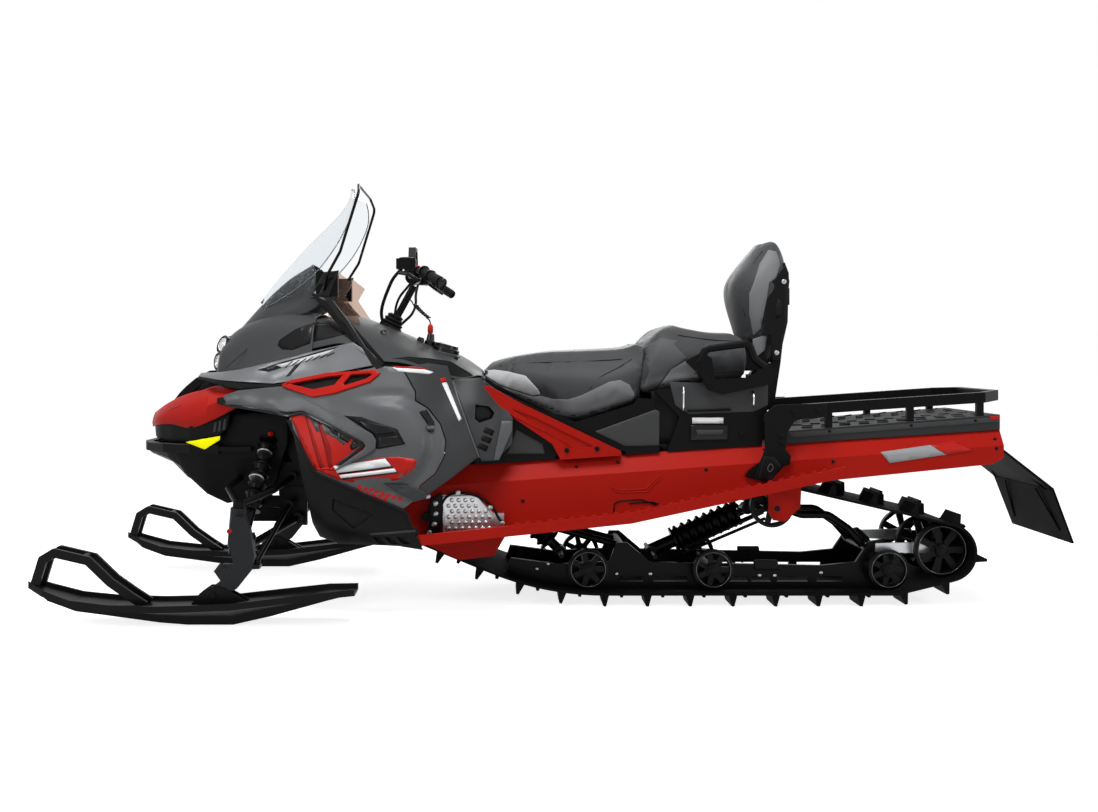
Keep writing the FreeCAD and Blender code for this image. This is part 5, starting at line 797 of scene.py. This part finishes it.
SCREEN_COWL = [
    (1188, 934, 100, 34, 6), (1093, 1042, 158, 120, 56), (1000, 1130, 172, 140, 90), (905, 1190, 150, 42, 52),
]
windshield_cowl = arched("screen_cowl", [swept(*rib) for rib in SCREEN_COWL], cowl_charcoal)
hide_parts("windshield_cowl")

# ==== Windshield, side wings and hoop ====
# A clear polycarbonate sheet bent round the front, edged by a rubber-covered wire hoop that
# two black stays carry, with a small smoked wing on each side.
clear_sheet = finish("clear_sheet", "f2f5f7", 0.04, shade=0.01)
dial(clear_sheet.node_tree.nodes["Principled BSDF"], Transmission_Weight=1.0, IOR=1.03)
smoked_sheet = finish("smoked_sheet", "cfb5a6", 0.03, shade=0.03)
dial(smoked_sheet.node_tree.nodes["Principled BSDF"], Transmission_Weight=0.95, IOR=1.05)
SCREEN = [
    (1096, 1052, 110, 40, 20), (1021, 1147, 190, 118, 40), (916, 1258, 235, 118, 34), (812, 1356, 242, 70, 24),
    (770, 1412, 225, 42, 16), (762, 1447, 190, 26, 10),
]
windshield = arched(
    "screen_sheet", [swept(*rib) for rib in SCREEN], clear_sheet, across=5, along=5, thick=3, bevel=0,
)
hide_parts("windshield")
# Painted reflection and shade: a grey bead along each side edge of the screen stands for the dark outline and
# pale reflections of the clear sheet's edge.
screen_edge_glint = finish("screen_edge_glint", "5c6064", 0.3, shine=0.4)
side_edge = [(x - back, half, z - drop) for x, z, half, back, drop in SCREEN]
bead("screen_edges", [side_edge], 1.8, screen_edge_glint)
dress(smoked_sheet, "wind_wings")
dress(black_steel, "windshield_frame")


def strap(x, z):
    """How far the screen's stay stands from the centre plane as it runs down to the hood, in metres."""
    return numpy.interp(x, [0.612, 0.646, 0.826, 0.87], [0.354, 0.352, 0.224, 0.208])


BRACKET = [(888, 1058), (840, 1150), (786, 1156), (825, 1060)]
BRACKET_SLOT = [(876, 1076), (858, 1108), (838, 1110), (857, 1074)]
moulding(
    "screen_bracket", BRACKET, level(207), gloss_black, thick=5, holes=[BRACKET_SLOT], bevel=1.5,
    step=10,
)
plates([
    ("screen_stay", strap, gloss_black, 0, 5, 2, 14, [
        (869, 1066), (842, 1029), (757, 968), (693, 858), (648, 812), (618, 832), (680, 888), (754, 990),
        (812, 1060),
    ]),
    ("bracket_slot", level(203), decal_white, 0, 2, 0, 8, BRACKET_SLOT),
])
turned("bracket_bolts", BOLT, [(812, 208, 1130), (826, 214, 1040), (712, 300, 905)], bolt_black)

# ==== Nose cowl, grille, lamps and bumper ====
# The red moulded nose with its stepped black grille, two stacked lamps on each side, the
# black bumper bar and the belly pan below it.
nose_red = finish("nose_red", "9e1811", 0.38, grain=0.1, grain_size=500, wear=0.1, shine=0.08)
belly_black = finish("belly_black", "060607", 0.44, grain=0.35, grain_size=560, shine=0.08)
NOSE = [
    # x, then (y, z) of the lower edge, cheek and shoulder, and the height of the top
    (1468, (84, 606), (92, 622), (80, 640), 655),
    (1430, (146, 617), (150, 640), (112, 674), 684),
    (1370, (192, 622), (196, 655), (152, 706), 716),
    (1290, (236, 612), (244, 662), (192, 731), 742),
    (1200, (274, 645), (281, 700), (216, 753), 770),
    (1120, (286, 686), (290, 722), (240, 758), 778),
]
nose_ribs = [
    [(x, *low), (x, *cheek), (x, *shoulder), (x, 60, top), (x, 0, top)] for x, low, cheek, shoulder, top in NOSE
]
nose_cowl = arched("nose_shell", nose_ribs, nose_red, across=1, bevel=3)


def chin(x, z):
    """How far the black cheek under the nose stands from the centre plane, in metres."""
    return numpy.interp(x, [1.16, 1.2, 1.29, 1.37, 1.43, 1.46], [0.266, 0.262, 0.238, 0.186, 0.138, 0.094])


for i in range(3):
    x = 1206 - 17 * i
    slit = [(x, 630 + 6 * i), (x - 9, 634 + 6 * i), (x - 5, 600 + 4 * i), (x + 4, 598 + 4 * i)]
    moulding(f"cheek_slit_{i}", slit, chin, side_charcoal, lift=2, thick=2, bevel=0.8, step=8)
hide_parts("nose_cowl")
on_nose = over(nose_cowl)
COWL_LIP = [
    (1168, 266, 817), (1130, 246, 852), (1094, 216, 893), (1077, 196, 918), (1087, 166, 946), (1131, 128, 955),
]
bead("cowl_lip", [COWL_LIP], 1.3, gloss_black)
# Painted shade: a thin darker red line stands for the shade inside the slit in the red nose.
moulding(
    "nose_slit_shade", [(1392, 672), (1340, 690), (1338, 686), (1388, 668)], on_nose, decal_dark_red,
    lift=0.6, thick=1, bevel=0, step=8,
)
dress(belly_black, "grille", "belly_pan", "bumper_front")
dress(gloss_black, "headlamps")
LENS = [(27, -2), (26.5, 3), (22, 7), (20, 7), (19, 3.5), (12, 3), (10, 6.5), (5, 8), (2, 8.5)]
lamp_silver = finish("lamp_silver", "d4d6d8", 0.14, metal=0.7, shade=0.03)
BEZEL = [(30, -30), (34, -8), (34, 4), (31, 7), (28, 6), (27, -4), (27, -16)]
LAMP_SEATS = {"upper": ((1210, 114, 899), (0.72, 0.6, 0.34)), "lower": ((1224, 112, 838), (0.78, 0.62, 0.08))}
for name, (place, out) in LAMP_SEATS.items():
    turned(f"{name}_lamp_bezels", BEZEL, [place], gloss_black, facing=out, around=28)
    turned(f"{name}_lamp_lenses", LENS, [place], lamp_silver, facing=out, around=28)
mouth = []
for z in (558, 572, 600, 618, 636, 652):
    row = []
    for y in range(-150, 151, 15):
        x = numpy.interp(abs(y), [0, 70, 120, 150], [1456, 1452, 1424, 1398])
        row.append(Vector((x, y, z)) / 1000)
    mouth.append(row)
nose_mouth = join_skin("nose_mouth", mouth, belly_black)
walled(nose_mouth, 4)
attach(nose_mouth, "chassis")
SLAT = [(1400, -146), (1430, -118), (1457, -70), (1461, 0), (1457, 70), (1430, 118), (1400, 146)]
bead(
    "nose_slats", [[(x, y, z) for x, y in SLAT] for z in (592, 608)], 3, gloss_black,
    sides=(1,),
)
reflector_yellow = finish("reflector_yellow", "f4f000", 0.25, shade=0.03)


def belly(x, z):
    """How far the black side sheet ahead of the suspension stands from the centre plane, in metres."""
    fore = numpy.interp(x, [0.96, 1.15, 1.25, 1.37], [0.232, 0.232, 0.226, 0.185])
    return fore - 0.05 * max(0.0, (0.52 - z) / 0.17)


plates([
    ("nose_bed", level(118), vent_black, 0, 4, 0, 14, [
        (1304, 736), (1264, 776), (1244, 788), (1110, 806), (1110, 740),
    ]),
    ("nose_cheek", chin, belly_black, 0, 5, 2, 10, [
        (1458, 628), (1414, 640), (1274, 640), (1176, 668), (1150, 662), (1161, 612), (1190, 588), (1307, 562),
        (1394, 560), (1450, 574),
    ]),
    ("side_reflector", level(271), reflector_yellow, 0, 3, 0.8, 10, [
        (1301, 566), (1184, 587), (1184, 574), (1236, 541),
    ]),
    ("belly_side", belly, belly_black, 0, 4, 1.5, 14, [
        (1330, 556), (1300, 566), (1184, 590), (1150, 660), (960, 670), (960, 560), (1010, 420), (1110, 360),
        (1180, 345), (1250, 380), (1330, 452), (1370, 530),
    ]),
])
bead(
    "bumper_edge", [[(1494, 60, 557), (1470, 150, 557), (1400, 214, 557), (1290, 256, 557)]], 2.2,
    side_charcoal,
)

# ==== Console and fuel tank ====
# The charcoal console behind the cowl, falling from the steering post to the seat, with the
# filler cap on it and the tank's black sides showing below.
CONSOLE = {
    866: [(292, 886), (262, 935), (214, 980), (120, 992), (0, 996)],
    753: [(304, 902), (262, 938), (190, 978), (96, 999), (0, 1003)],
    655: [(336, 850), (262, 906), (172, 948), (84, 969), (0, 974)],
    560: [(332, 838), (254, 878), (160, 908), (78, 930), (0, 935)],
    472: [(300, 816), (230, 846), (148, 868), (70, 890), (0, 896)],
    374: [(272, 782), (212, 812), (140, 838), (60, 858), (0, 862)],
    300: [(250, 794), (190, 800), (120, 804), (50, 812), (0, 814)],
    284: [(246, 778), (186, 784), (118, 787), (50, 793), (0, 795)],
}
console_charcoal = finish("console_charcoal", "343536", 0.52, grain=0.3, grain_size=620, wear=0.1, shine=0.1)
console = arched("console_shell", [[(x, y, z) for y, z in rib] for x, rib in CONSOLE.items()], console_charcoal)
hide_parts("console")
on_console = over(console)
dress(belly_black, "fuel_tank")
for side, hand in ((1, "left"), (-1, "right")):
    walls = []
    for x, rib in list(CONSOLE.items())[1:6]:
        y, z = rib[0]
        walls.append([Vector((x, side * (y - 16), z - 60)) / 1000, Vector((x, side * (y - 18), z + 4)) / 1000])
    inner_wall = join_skin(f"console_inner_{hand}", walls, vent_black)
    walled(inner_wall, 3)
    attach(inner_wall, "chassis")

CAP = [(50, -16), (50, 10), (44, 14), (42, 24), (34, 27), (12, 28)]
OFF_CONSOLE = (-0.25, 0, 1)
turned(
    "filler_cap", CAP, [(424, 60, 876)], gloss_black, facing=OFF_CONSOLE, around=12,
    sides=(1,),
)
turned(
    "cap_collar", [(58, -20), (58, -4), (52, 0)], [(424, 60, 872)], cowl_charcoal,
    facing=OFF_CONSOLE, around=24, sides=(1,),
)
turned(
    "console_knob", [(13, -12), (13, 8), (9, 14), (5, 14)], [(515, 60, 912)], gloss_black,
    facing=(-0.3, 0, 1), around=12, sides=(1,),
)
turned(
    "console_plugs", [(11, -2), (11, 2), (8, 3), (5, 1)], [(634, 196, 943)], gloss_black,
    facing=(0, 0.62, 0.78), around=20,
)
REAR_WINDOW = [(864, 974), (845, 986), (768, 951), (756, 934), (800, 922), (864, 908)]
moulding(
    "cowl_window_rear", REAR_WINDOW, on_console, vent_black, lift=0.6, thick=1.5, bevel=0,
    step=10,
)
turned("console_screw", BOLT, laid(on_console, [(386, 848)], -4), bolt_black)

# ==== Seats and backrest ====
# Foam cushions covered in grained vinyl: a saddle for the rider, a raised seat behind it and
# a tall backrest pad. Each is blown up to a crowned shape, then pale bolster panels are laid on.
dark_vinyl = finish("dark_vinyl", "333436", 0.5, grain=0.7, grain_size=420, sheen=0.12, shade=0.1)
bolster_vinyl = finish("bolster_vinyl", "67686a", 0.5, grain=0.6, grain_size=420, sheen=0.12, shade=0.08)
mid_vinyl = finish("mid_vinyl", "444547", 0.5, grain=0.6, grain_size=420, sheen=0.12, shade=0.08)
pale_vinyl = finish("pale_vinyl", "a2a3a4", 0.48, grain=0.6, grain_size=420, sheen=0.12, shade=0.06)

FOAM_STEP, QUICK_FOAM_STEP = 0.006, 0.010
BLOW_FORCE, BLOW_MOMENTS, CROWN_LIMIT = 4, 20, 0.012


def cushion(name, ribs, cap):
    """A crowned cushion through closed ribs, blown up as cloth and held within a cap."""
    rows = [[Vector(p) / 1000 for p in rib] for rib in ribs]
    closed = [smooth_run(row + [row[0]], 4)[:-1] for row in rows]
    columns = [smooth_run(list(column), 5) for column in zip(*closed)]
    made = join_skin(name, [list(row) for row in zip(*columns)], dark_vinyl, closed=True, capped=True)
    bpy.context.view_layer.objects.active = made
    voxels = made.modifiers.new("voxels", "REMESH")
    voxels.mode = "VOXEL"
    voxels.voxel_size = FOAM_STEP
    settle(made)
    before = [v.co.copy() for v in made.data.vertices]
    cloth = made.modifiers.new("cloth", "CLOTH")
    cloth.settings.use_pressure = True
    cloth.settings.uniform_pressure_force = BLOW_FORCE
    cloth.settings.quality = 4
    cloth.settings.effector_weights.gravity = 0
    for moment in range(1, BLOW_MOMENTS + 1):
        bpy.context.scene.frame_set(moment)
    settle(made)
    bpy.context.scene.frame_set(1)
    for vertex, start in zip(made.data.vertices, before):
        move = vertex.co - start
        if move.length > cap:
            vertex.co = start + move * (cap / move.length)
    round_off = made.modifiers.new("round", "SMOOTH")
    round_off.iterations = 6
    settle(made)
    made.data.shade_smooth()
    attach(made, "chassis")
    return made


def settle(piece):
    """Turn a piece's modifiers into its plain mesh."""
    shaped = bpy.data.meshes.new_from_object(piece.evaluated_get(bpy.context.evaluated_depsgraph_get()))
    old = piece.data
    piece.modifiers.clear()
    piece.data = shaped
    bpy.data.meshes.remove(old)


def seat_rib(x_low, x_high, half, low, high):
    """A closed rib of a seat: flat below, pulled in at the sides and crowned on top."""
    section = [(-0.80, 0.0), (-0.98, 0.22), (-0.97, 0.62), (-0.76, 0.93), (-0.4, 1.0), (0, 1.01)]
    left = [(x_low + (x_high - x_low) * t, w * half, low + (high - low) * t) for w, t in section]
    right = [(x, -y, z) for x, y, z in reversed(left[:-1])]
    return left + right


FRONT_SEAT = [
    (286, 292, 96, 774, 812), (236, 190, 130, 738, 842), (74, 60, 170, 666, 862), (-34, -60, 205, 632, 868),
    (-228, -214, 226, 693, 878), (-244, -286, 226, 716, 912),
]
REAR_SEAT = [
    (-251, -291, 226, 726, 916), (-300, -344, 232, 742, 960), (-425, -430, 238, 762, 944),
    (-520, -515, 236, 772, 930), (-618, -620, 226, 784, 928),
]
BACKREST = [
    (830, -664, -752, 96), (930, -640, -764, 130), (1060, -600, -776, 150), (1130, -606, -780, 152),
    (1200, -664, -774, 132), (1262, -718, -762, 92), (1280, -736, -752, 60),
]


def back_rib(z, front, rear, half):
    """A closed level rib of the backrest pad: bowed forward in front and flat behind."""
    section = [(0.0, 0.0), (0.55, 0.06), (0.9, 0.3), (1.0, 0.62), (0.9, 0.97), (0, 1.0)]
    left = [(front + (rear - front) * t, w * half, z) for w, t in section]
    right = [(x, -y, z) for x, y, z in reversed(left[1:-1])]
    return left + right


seat_front = cushion("saddle", [seat_rib(*rib) for rib in FRONT_SEAT], CROWN_LIMIT)
seat_rear = cushion("pillion", [seat_rib(*rib) for rib in REAR_SEAT], CROWN_LIMIT)
backrest_pad = cushion("back_cushion", [back_rib(*rib) for rib in BACKREST], CROWN_LIMIT)
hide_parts("seat_front")
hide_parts("seat_rear")
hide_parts("backrest_pad")

stitch_grey = finish("stitch_grey", "17181a", 0.7, grain=0.5, grain_size=900)
on_saddle = over(seat_front)
on_pillion = over(seat_rear)
on_back = over(backrest_pad)


def seam(name, surface, runs, lift=0.6):
    """A sewn seam with its thread, laid on a cushion."""
    return bead(name, [laid(surface, run, lift) for run in runs], 1.5, stitch_grey)


SADDLE_SEAMS = [
    [(-80, 745), (-110, 783), (-150, 804), (-185, 820), (-230, 848)],
    [(232, 822), (188, 830), (90, 836), (-6, 838), (-110, 842), (-196, 848)],
]
seam("saddle_seams", on_saddle, SADDLE_SEAMS)
seam(
    "pillion_seams", on_pillion,
    [[(-390, 932), (-440, 924), (-520, 914), (-600, 910)], [(-440, 800), (-520, 800), (-604, 806)]],
)
plates([
    ("saddle_insert", on_saddle, pale_vinyl, 2.2, *COVERING, [
        (286, 806), (250, 811), (207, 806), (140, 790), (96, 740), (88, 724), (114, 720), (181, 740),
        (233, 758), (282, 790),
    ]),
    ("saddle_bolster", on_saddle, bolster_vinyl, 1.8, *COVERING, [
        (282, 786), (233, 754), (181, 736), (114, 716), (88, 719), (46, 709), (-6, 708), (-51, 723),
        (-148, 771), (-185, 777), (-218, 760), (-234, 730), (-232, 706), (-140, 668), (-36, 645), (39, 655),
        (106, 688), (188, 729), (252, 764),
    ]),
    ("pillion_front", on_pillion, mid_vinyl, 1.8, *COVERING, [
        (-264, 880), (-290, 902), (-328, 922), (-386, 914), (-374, 898), (-412, 852), (-352, 808), (-308, 742),
        (-264, 742), (-285, 806),
    ]),
    ("pillion_side", on_pillion, bolster_vinyl, 1.2, 3, 1.5, 10, [
        (-424, 852), (-360, 812), (-314, 742), (-379, 750), (-454, 768), (-450, 842),
    ]),
    ("back_side", on_back, bolster_vinyl, 2, *COVERING, [
        (-724, 1236), (-752, 1230), (-762, 1179), (-741, 1133), (-716, 1117), (-692, 956), (-668, 930),
        (-650, 1010), (-648, 1079), (-688, 1186),
    ]),
])
seam(
    "back_seams", on_back, [
        [(-640, 1000), (-622, 1060), (-630, 1130), (-676, 1196), (-706, 1232)],
        [(-606, 1100), (-640, 1110), (-690, 1120)],
    ],
)
turned("back_bolts", BOLT, [(-768, 150, 1120), (-742, 150, 870)], bolt_steel)
plates([
    ("back_shell", level(150), guard_black, 0, 8, 3, 14, [
        (-774, 1182), (-786, 1150), (-782, 979), (-764, 900), (-756, 842), (-726, 841), (-722, 930),
        (-692, 933), (-716, 1114), (-744, 1138),
    ]),
    ("back_shell_recess", level(151), vent_black, 0, *BACKING, [
        (-748, 1060), (-766, 1050), (-764, 1000), (-740, 990), (-736, 1030),
    ]),
    ("back_shell_rear", level(118), guard_black, 0, 230, 2, 14, [
        (-782, 1180), (-794, 1140), (-786, 980), (-778, 980), (-774, 1180),
    ]),
    ("base_joint", level(222), vent_black, 0, 4, 0, 20, [(-292, 738), (-420, 742), (-420, 556), (-292, 556)]),
    ("back_base", level(100), guard_black, 0, 6, 2, 14, [
        (-596, 806), (-726, 806), (-730, 930), (-664, 936), (-600, 870),
    ]),
    ("back_gusset", level(124), strip_silver, 0, 4, 1.5, 14, [
        (-664, 918), (-716, 936), (-708, 880), (-664, 845),
    ]),
])

# ==== Seat base fittings ====
# Two bright wire hooks and a moulded latch box hold the luggage straps; a moulded tank cover
# and the storage lid meet behind the brace, and a bare plate sits below the lid.
hook_chrome = finish("hook_chrome", "c9cbcd", 0.16, metal=1.0, shade=0.04)
hooks = [
    [(-398, 246, 756), (-398, 262, 750), (-397, 264, 712), (-397, 262, 676), (-397, 246, 670)],
    [(-637, 246, 738), (-637, 262, 732), (-637, 264, 710), (-637, 262, 690), (-637, 246, 684)],
]
bead("strap_hooks", hooks, 3.4, hook_chrome)
bead("strap_bar", [[(-412, 250, 672), (-500, 252, 674), (-560, 250, 676)]], 4, belly_black)
plates([
    ("tank_cover", level(251), cowl_charcoal, 0, 6, 3, 14, [
        (-95, 600), (-304, 676), (-317, 669), (-316, 553), (-200, 550),
    ]),
    ("tank_front", level(251), cowl_charcoal, 0, 6, 3, 14, [(207, 524), (173, 608), (84, 559), (76, 524)]),
    ("latch_box", level(250), gloss_black, 0, 8, 3, 14, [(-424, 622), (-551, 622), (-551, 572), (-424, 570)]),
    ("latch_lip", level(256), cowl_charcoal, 0, 7, 2, 14, [(-440, 606), (-536, 606), (-530, 590), (-446, 590)]),
    ("base_plate", level(243.6), decal_white, 0, *DECAL, [(-430, 648), (-537, 648), (-537, 628), (-430, 628)]),
    ("base_lid", level(245), cowl_charcoal, 0, 4, 2, 14, [
        (-352, 770), (-690, 762), (-690, 690), (-640, 668), (-420, 660), (-372, 690),
    ]),
])
turned(
    "base_bolts", BOLT, [(-600, 245, 590), (-680, 245, 640), (-600, 262, 762), (-470, 262, 770)], bolt_black,
)

# ==== Seat base, handlebar, cargo rack and snow flap ====
# Black mouldings and bent steel tube that carry the rider and the load: the storage box under
# the seat, the bar with its rubber grips, the bolted rack and the hanging rubber flap.
grip_rubber = finish("grip_rubber", "121213", 0.7, grain=0.4, grain_size=400)
flap_rubber = finish("flap_rubber", "070708", 0.6, grain=0.3, grain_size=220, shade=0.12, shine=0.03)
dress(belly_black, "seat_box", "backrest_frame", "grab_handles", "hand_controls")
deck_plastic = finish("deck_plastic", "28292a", 0.52, grain=0.3, grain_size=560, shine=0.1)
dress(deck_plastic, "cargo_deck")
dress(black_steel, "cargo_rack", "handlebar", "hitch")
dress(grip_rubber, "grips")
dress(flap_rubber, "snow_flap")
dress(nose_red, "tail_lamp")

# ==== Rack, deck and flap fittings ====
# Each rack rail ends in a bolted plate whose stay runs down to the tunnel; the deck has raised
# grip bars, and the rubber flap is stiffened by pressed folds.
turned(
    "rack_bolts", BOLT, [(-762, 290, 672), (-850, 290, 674), (-722, 290, 590), (-722, 290, 566)], bolt_black,
)
plates([
    ("rack_stay", level(290), belly_black, 0, 7, 3, 14, [
        (-722, 695), (-880, 699), (-880, 652), (-773, 643), (-747, 602), (-740, 543), (-758, 521), (-754, 491),
        (-732, 484), (-684, 430), (-638, 438), (-633, 449), (-669, 543), (-666, 661), (-700, 692),
    ]),
    ("stay_pad", level(294), guard_black, 0, 6, 3, 14, [
        (-664, 520), (-700, 516), (-724, 486), (-684, 440), (-646, 446),
    ]),
])
bead(
    "stay_slot", [[(-686, 295, 498), (-698, 295, 484), (-686, 295, 464), (-674, 295, 476)]], 1.6, blade_silver,
    closed=True,
)

DECK_FRONT, DECK_FRONT_HEIGHT, DECK_RISE = -745, 604, 0.0739


def deck_height(x):
    """The height of the cargo deck's top, in millimetres."""
    return DECK_FRONT_HEIGHT - (x - DECK_FRONT) * DECK_RISE


bars = []
for i in range(10):
    for y in (60, 130, 200):
        x = -820 - 66 * i - 20 * (y == 130)
        bars.append([(x, y - 12 + 6 * (i % 2), deck_height(x) + 1), (x - 30, y + 12, deck_height(x - 30) + 1)])
bead("deck_bars", bars, 2.6, gloss_black)
moulding(
    "deck_edge", [(-760, 596), (-1480, 650), (-1484, 634), (-770, 580)], level(247), cowl_charcoal,
    thick=3, bevel=1,
)
moulding(
    "corner_reflector", [(-1446, 652), (-1478, 656), (-1482, 643), (-1454, 641)], level(249), decal_red,
    thick=3, bevel=1, step=8,
)
turned(
    "deck_screws", [(5, 0), (5, 1), (3, 2)], [(-900, 248, 602), (-1180, 248, 622), (-1400, 248, 638)],
    bolt_black,
)
folds = [
    [(-1600, 150, 462), (-1640, 176, 420), (-1662, 200, 396)],
    [(-1664, 120, 392), (-1690, 150, 330), (-1724, 176, 250)],
]
bead("flap_folds", folds, 3, flap_rubber)
bead(
    "flap_crease", [[(-1667, 228, 398), (-1667, 0, 398), (-1667, -228, 398)]], 2.5, flap_rubber,
    sides=(1,),
)

# ==== Wheel, rail and suspension fittings ====
# Hub caps and bright rims on the bogie wheels, bolts and bump stops along the rails, and the
# twin pull rods beside the rear shock.
rim_gloss = finish("rim_gloss", "1c1d1f", 0.2, coat=0.5, shine=0.5)
HUB = [(20, 0), (19, 4), (12, 6), (11, 9), (5, 10)]
RIM_INSET, LUG_CIRCLE = 9, 24
on_idlers = over(nodes["idler_wheels"])
on_rear = over(nodes["rear_wheels"])
WHEELS = [
    (-77, 118, 70, on_idlers), (-512, 117, 70, on_idlers), (-1121, 116, 70, on_idlers),
    (-1305, 185, 93, on_rear),
]


def circle(x, y, z, radius, turns):
    """Places round a wheel's middle, at some turns."""
    return [(x + radius * math.cos(turn), y, z + radius * math.sin(turn)) for turn in turns]


hubs, rims, lugs = [], [], []
for x, z, radius, surface in WHEELS:
    y = surface(x / 1000, (z + radius - 8) / 1000) * 1000
    hubs.append((x, y, z))
    rims.append(circle(x, y + 0.5, z, radius - RIM_INSET, [math.tau * i / 16 for i in range(16)]))
    lugs += circle(x, y + 1, z, LUG_CIRCLE, [math.tau * i / 4 + 0.4 for i in range(4)])
turned("wheel_hubs", HUB, hubs, wheel_plastic, around=20)
bead("wheel_rims", rims, 1.8, rim_gloss, closed=True)
turned("wheel_bolts", [(4, -2), (4, 3), (2, 4)], lugs, bolt_black, around=8)
on_rails = over(nodes["slide_rails"])
RAIL_BOLTS = [(-684, 86), (-737, 86), (-900, 96), (-300, 92), (-180, 92), (60, 128), (100, 110)]
turned(
    "rail_bolts", [(7, -1), (7, 2), (5, 4), (2, 5)], laid(on_rails, RAIL_BOLTS), bolt_steel,
    around=10,
)
moulding(
    "rail_bumper", [(-664, 142), (-746, 142), (-750, 106), (-664, 106)], level(152), guard_black,
    thick=14, bevel=4, step=20,
)
PULL_RODS = [[(-430, 62, 170), (-716, 62, 298)], [(-430, 62, 152), (-722, 62, 276)]]
bead(
    "pull_rods",
    [[(x1, y, z1), ((x1 + x2) / 2, y, (z1 + z2) / 2), (x2, y, z2)] for (x1, y, z1), (x2, _, z2) in PULL_RODS],
    6, black_steel,
)

# ==== Front suspension fittings ====
# Bright spring collars and a red adjuster on each shock, a red bolt through each spindle and
# bolts that hold the handle loops to the skis.
turned(
    "shock_collars", [(24, -3), (26, 0), (24, 3)], [(1029, 286, 530), (1043, 352, 452)], bolt_steel,
    facing=(0.1, 0.8, -0.9), around=20,
)
turned(
    "shock_adjusters", [(9, 0), (9, 12), (6, 14)], [(1020, 236, 590)], decal_red,
    facing=(-0.4, 0.9, 0.2),
)
for side, hand in ((1, "left"), (-1, "right")):
    spindle_bolt = [(1096, side * 512, 300)]
    turned(
        f"spindle_bolt_{hand}", BOLT, spindle_bolt, decal_red, facing=(0, side, 0),
        body=f"spindle_{hand}", sides=(1,),
    )
    loop_bolts = [(1719, side * 500 + side * 22, 137), (1387, side * 500 + side * 22, 86)]
    turned(
        f"loop_bolts_{hand}", BOLT, loop_bolts, bolt_steel, facing=(0, side, 0),
        body=f"ski_{hand}", sides=(1,),
    )

# ==== Handlebar fittings, cables and tether ====
# Rubber-sheathed control cables run from the levers down the post into a bellows boot on the
# console, and the rider's coiled stop tether ends in a red cap on its switch.
BOOT = [(40, -26), (44, -10), (36, -4), (40, 4), (32, 10), (36, 18), (27, 24), (30, 32), (20, 38)]
turned(
    "post_boot", BOOT, [(622, 0, 974)], grip_rubber, facing=(-0.414, 0, 0.91), around=28,
    sides=(1,),
)
ALONG_GRIP = (-0.54, 0.78, -0.3)
turned(
    "clamp_bolts", [(6, 0), (6, 4), (4, 5)], [(532, 28, 1168), (556, 28, 1168)], bolt_steel,
    facing=(-0.1, 0, 1), body="steering",
)
turned(
    "reservoir_cap", [(26, -3), (26, 3), (22, 5), (10, 6)], [(558, 150, 1200)], guard_black,
    facing=(0, 0, 1), body="steering", sides=(1,),
)
turned(
    "bar_ends", [(17, 0), (17, 3), (12, 6), (4, 7)], [(421, 392, 1102)], gloss_black,
    facing=ALONG_GRIP, body="steering",
)
turned(
    "start_button", [(8, 0), (8, 5), (5, 7)], [(516, 176, 1168)], decal_red,
    facing=(-0.3, 0, 1), body="steering",
)
turned(
    "grip_rings", [(21, -2), (21, 2)], [(486, 305, 1145), (462, 340, 1128)], gloss_black,
    facing=ALONG_GRIP, body="steering", around=20,
)

CABLES = [
    # name, radius and length, then its run from the bar into the console
    ("brake_hose", 6, 0.251, [
        (575, 150, 1164), (604, 132, 1140), (628, 92, 1096), (652, 52, 1044), (660, 28, 1004), (652, 20, 976),
    ]),
    ("throttle_cable", 5, 0.253, [
        (540, -190, 1130), (548, -150, 1090), (540, -90, 1050), (552, -48, 1010), (580, -28, 984),
        (596, -22, 968),
    ]),
    ("switch_lead", 4.5, 0.273, [
        (520, 176, 1142), (540, 124, 1122), (562, 76, 1102), (596, 46, 1066), (610, 32, 1016), (612, 26, 968),
    ]),
]
for name, radius, length, run in CABLES:
    made = bead(name, [run], radius, grip_rubber, body="steering", sides=(1,))
COIL_TURNS, COIL_STEPS, COIL_RADIUS = 8, 8, 10
coil = [(556, 18, 1064), (546, 24, 1054)]
for i in range(COIL_TURNS * COIL_STEPS + 1):
    along = i / (COIL_TURNS * COIL_STEPS)
    turn = math.tau * i / COIL_STEPS
    x, y, z = 534 - 48 * along**1.3, 32 + 8 * along, 1044 - 48 * along
    coil.append((x + COIL_RADIUS * math.cos(turn), y + COIL_RADIUS * math.sin(turn), z + 2 * math.cos(turn)))
coil += [(480, 41, 986), (480, 41, 972)]
tether = bead("stop_tether", [coil], 2.5, gloss_black, sides=(1,))
turned(
    "tether_cap", [(7, 0), (10, 6), (10, 26), (7, 32), (3, 36)], [(480, 41, 938)], decal_red,
    facing=(0, 0, 1), sides=(1,),
)
turned(
    "tether_switch", [(20, -24), (20, 4), (15, 8), (12, 30)], [(481, 41, 908)], gloss_black,
    facing=(-0.1, 0, 1), sides=(1,),
)
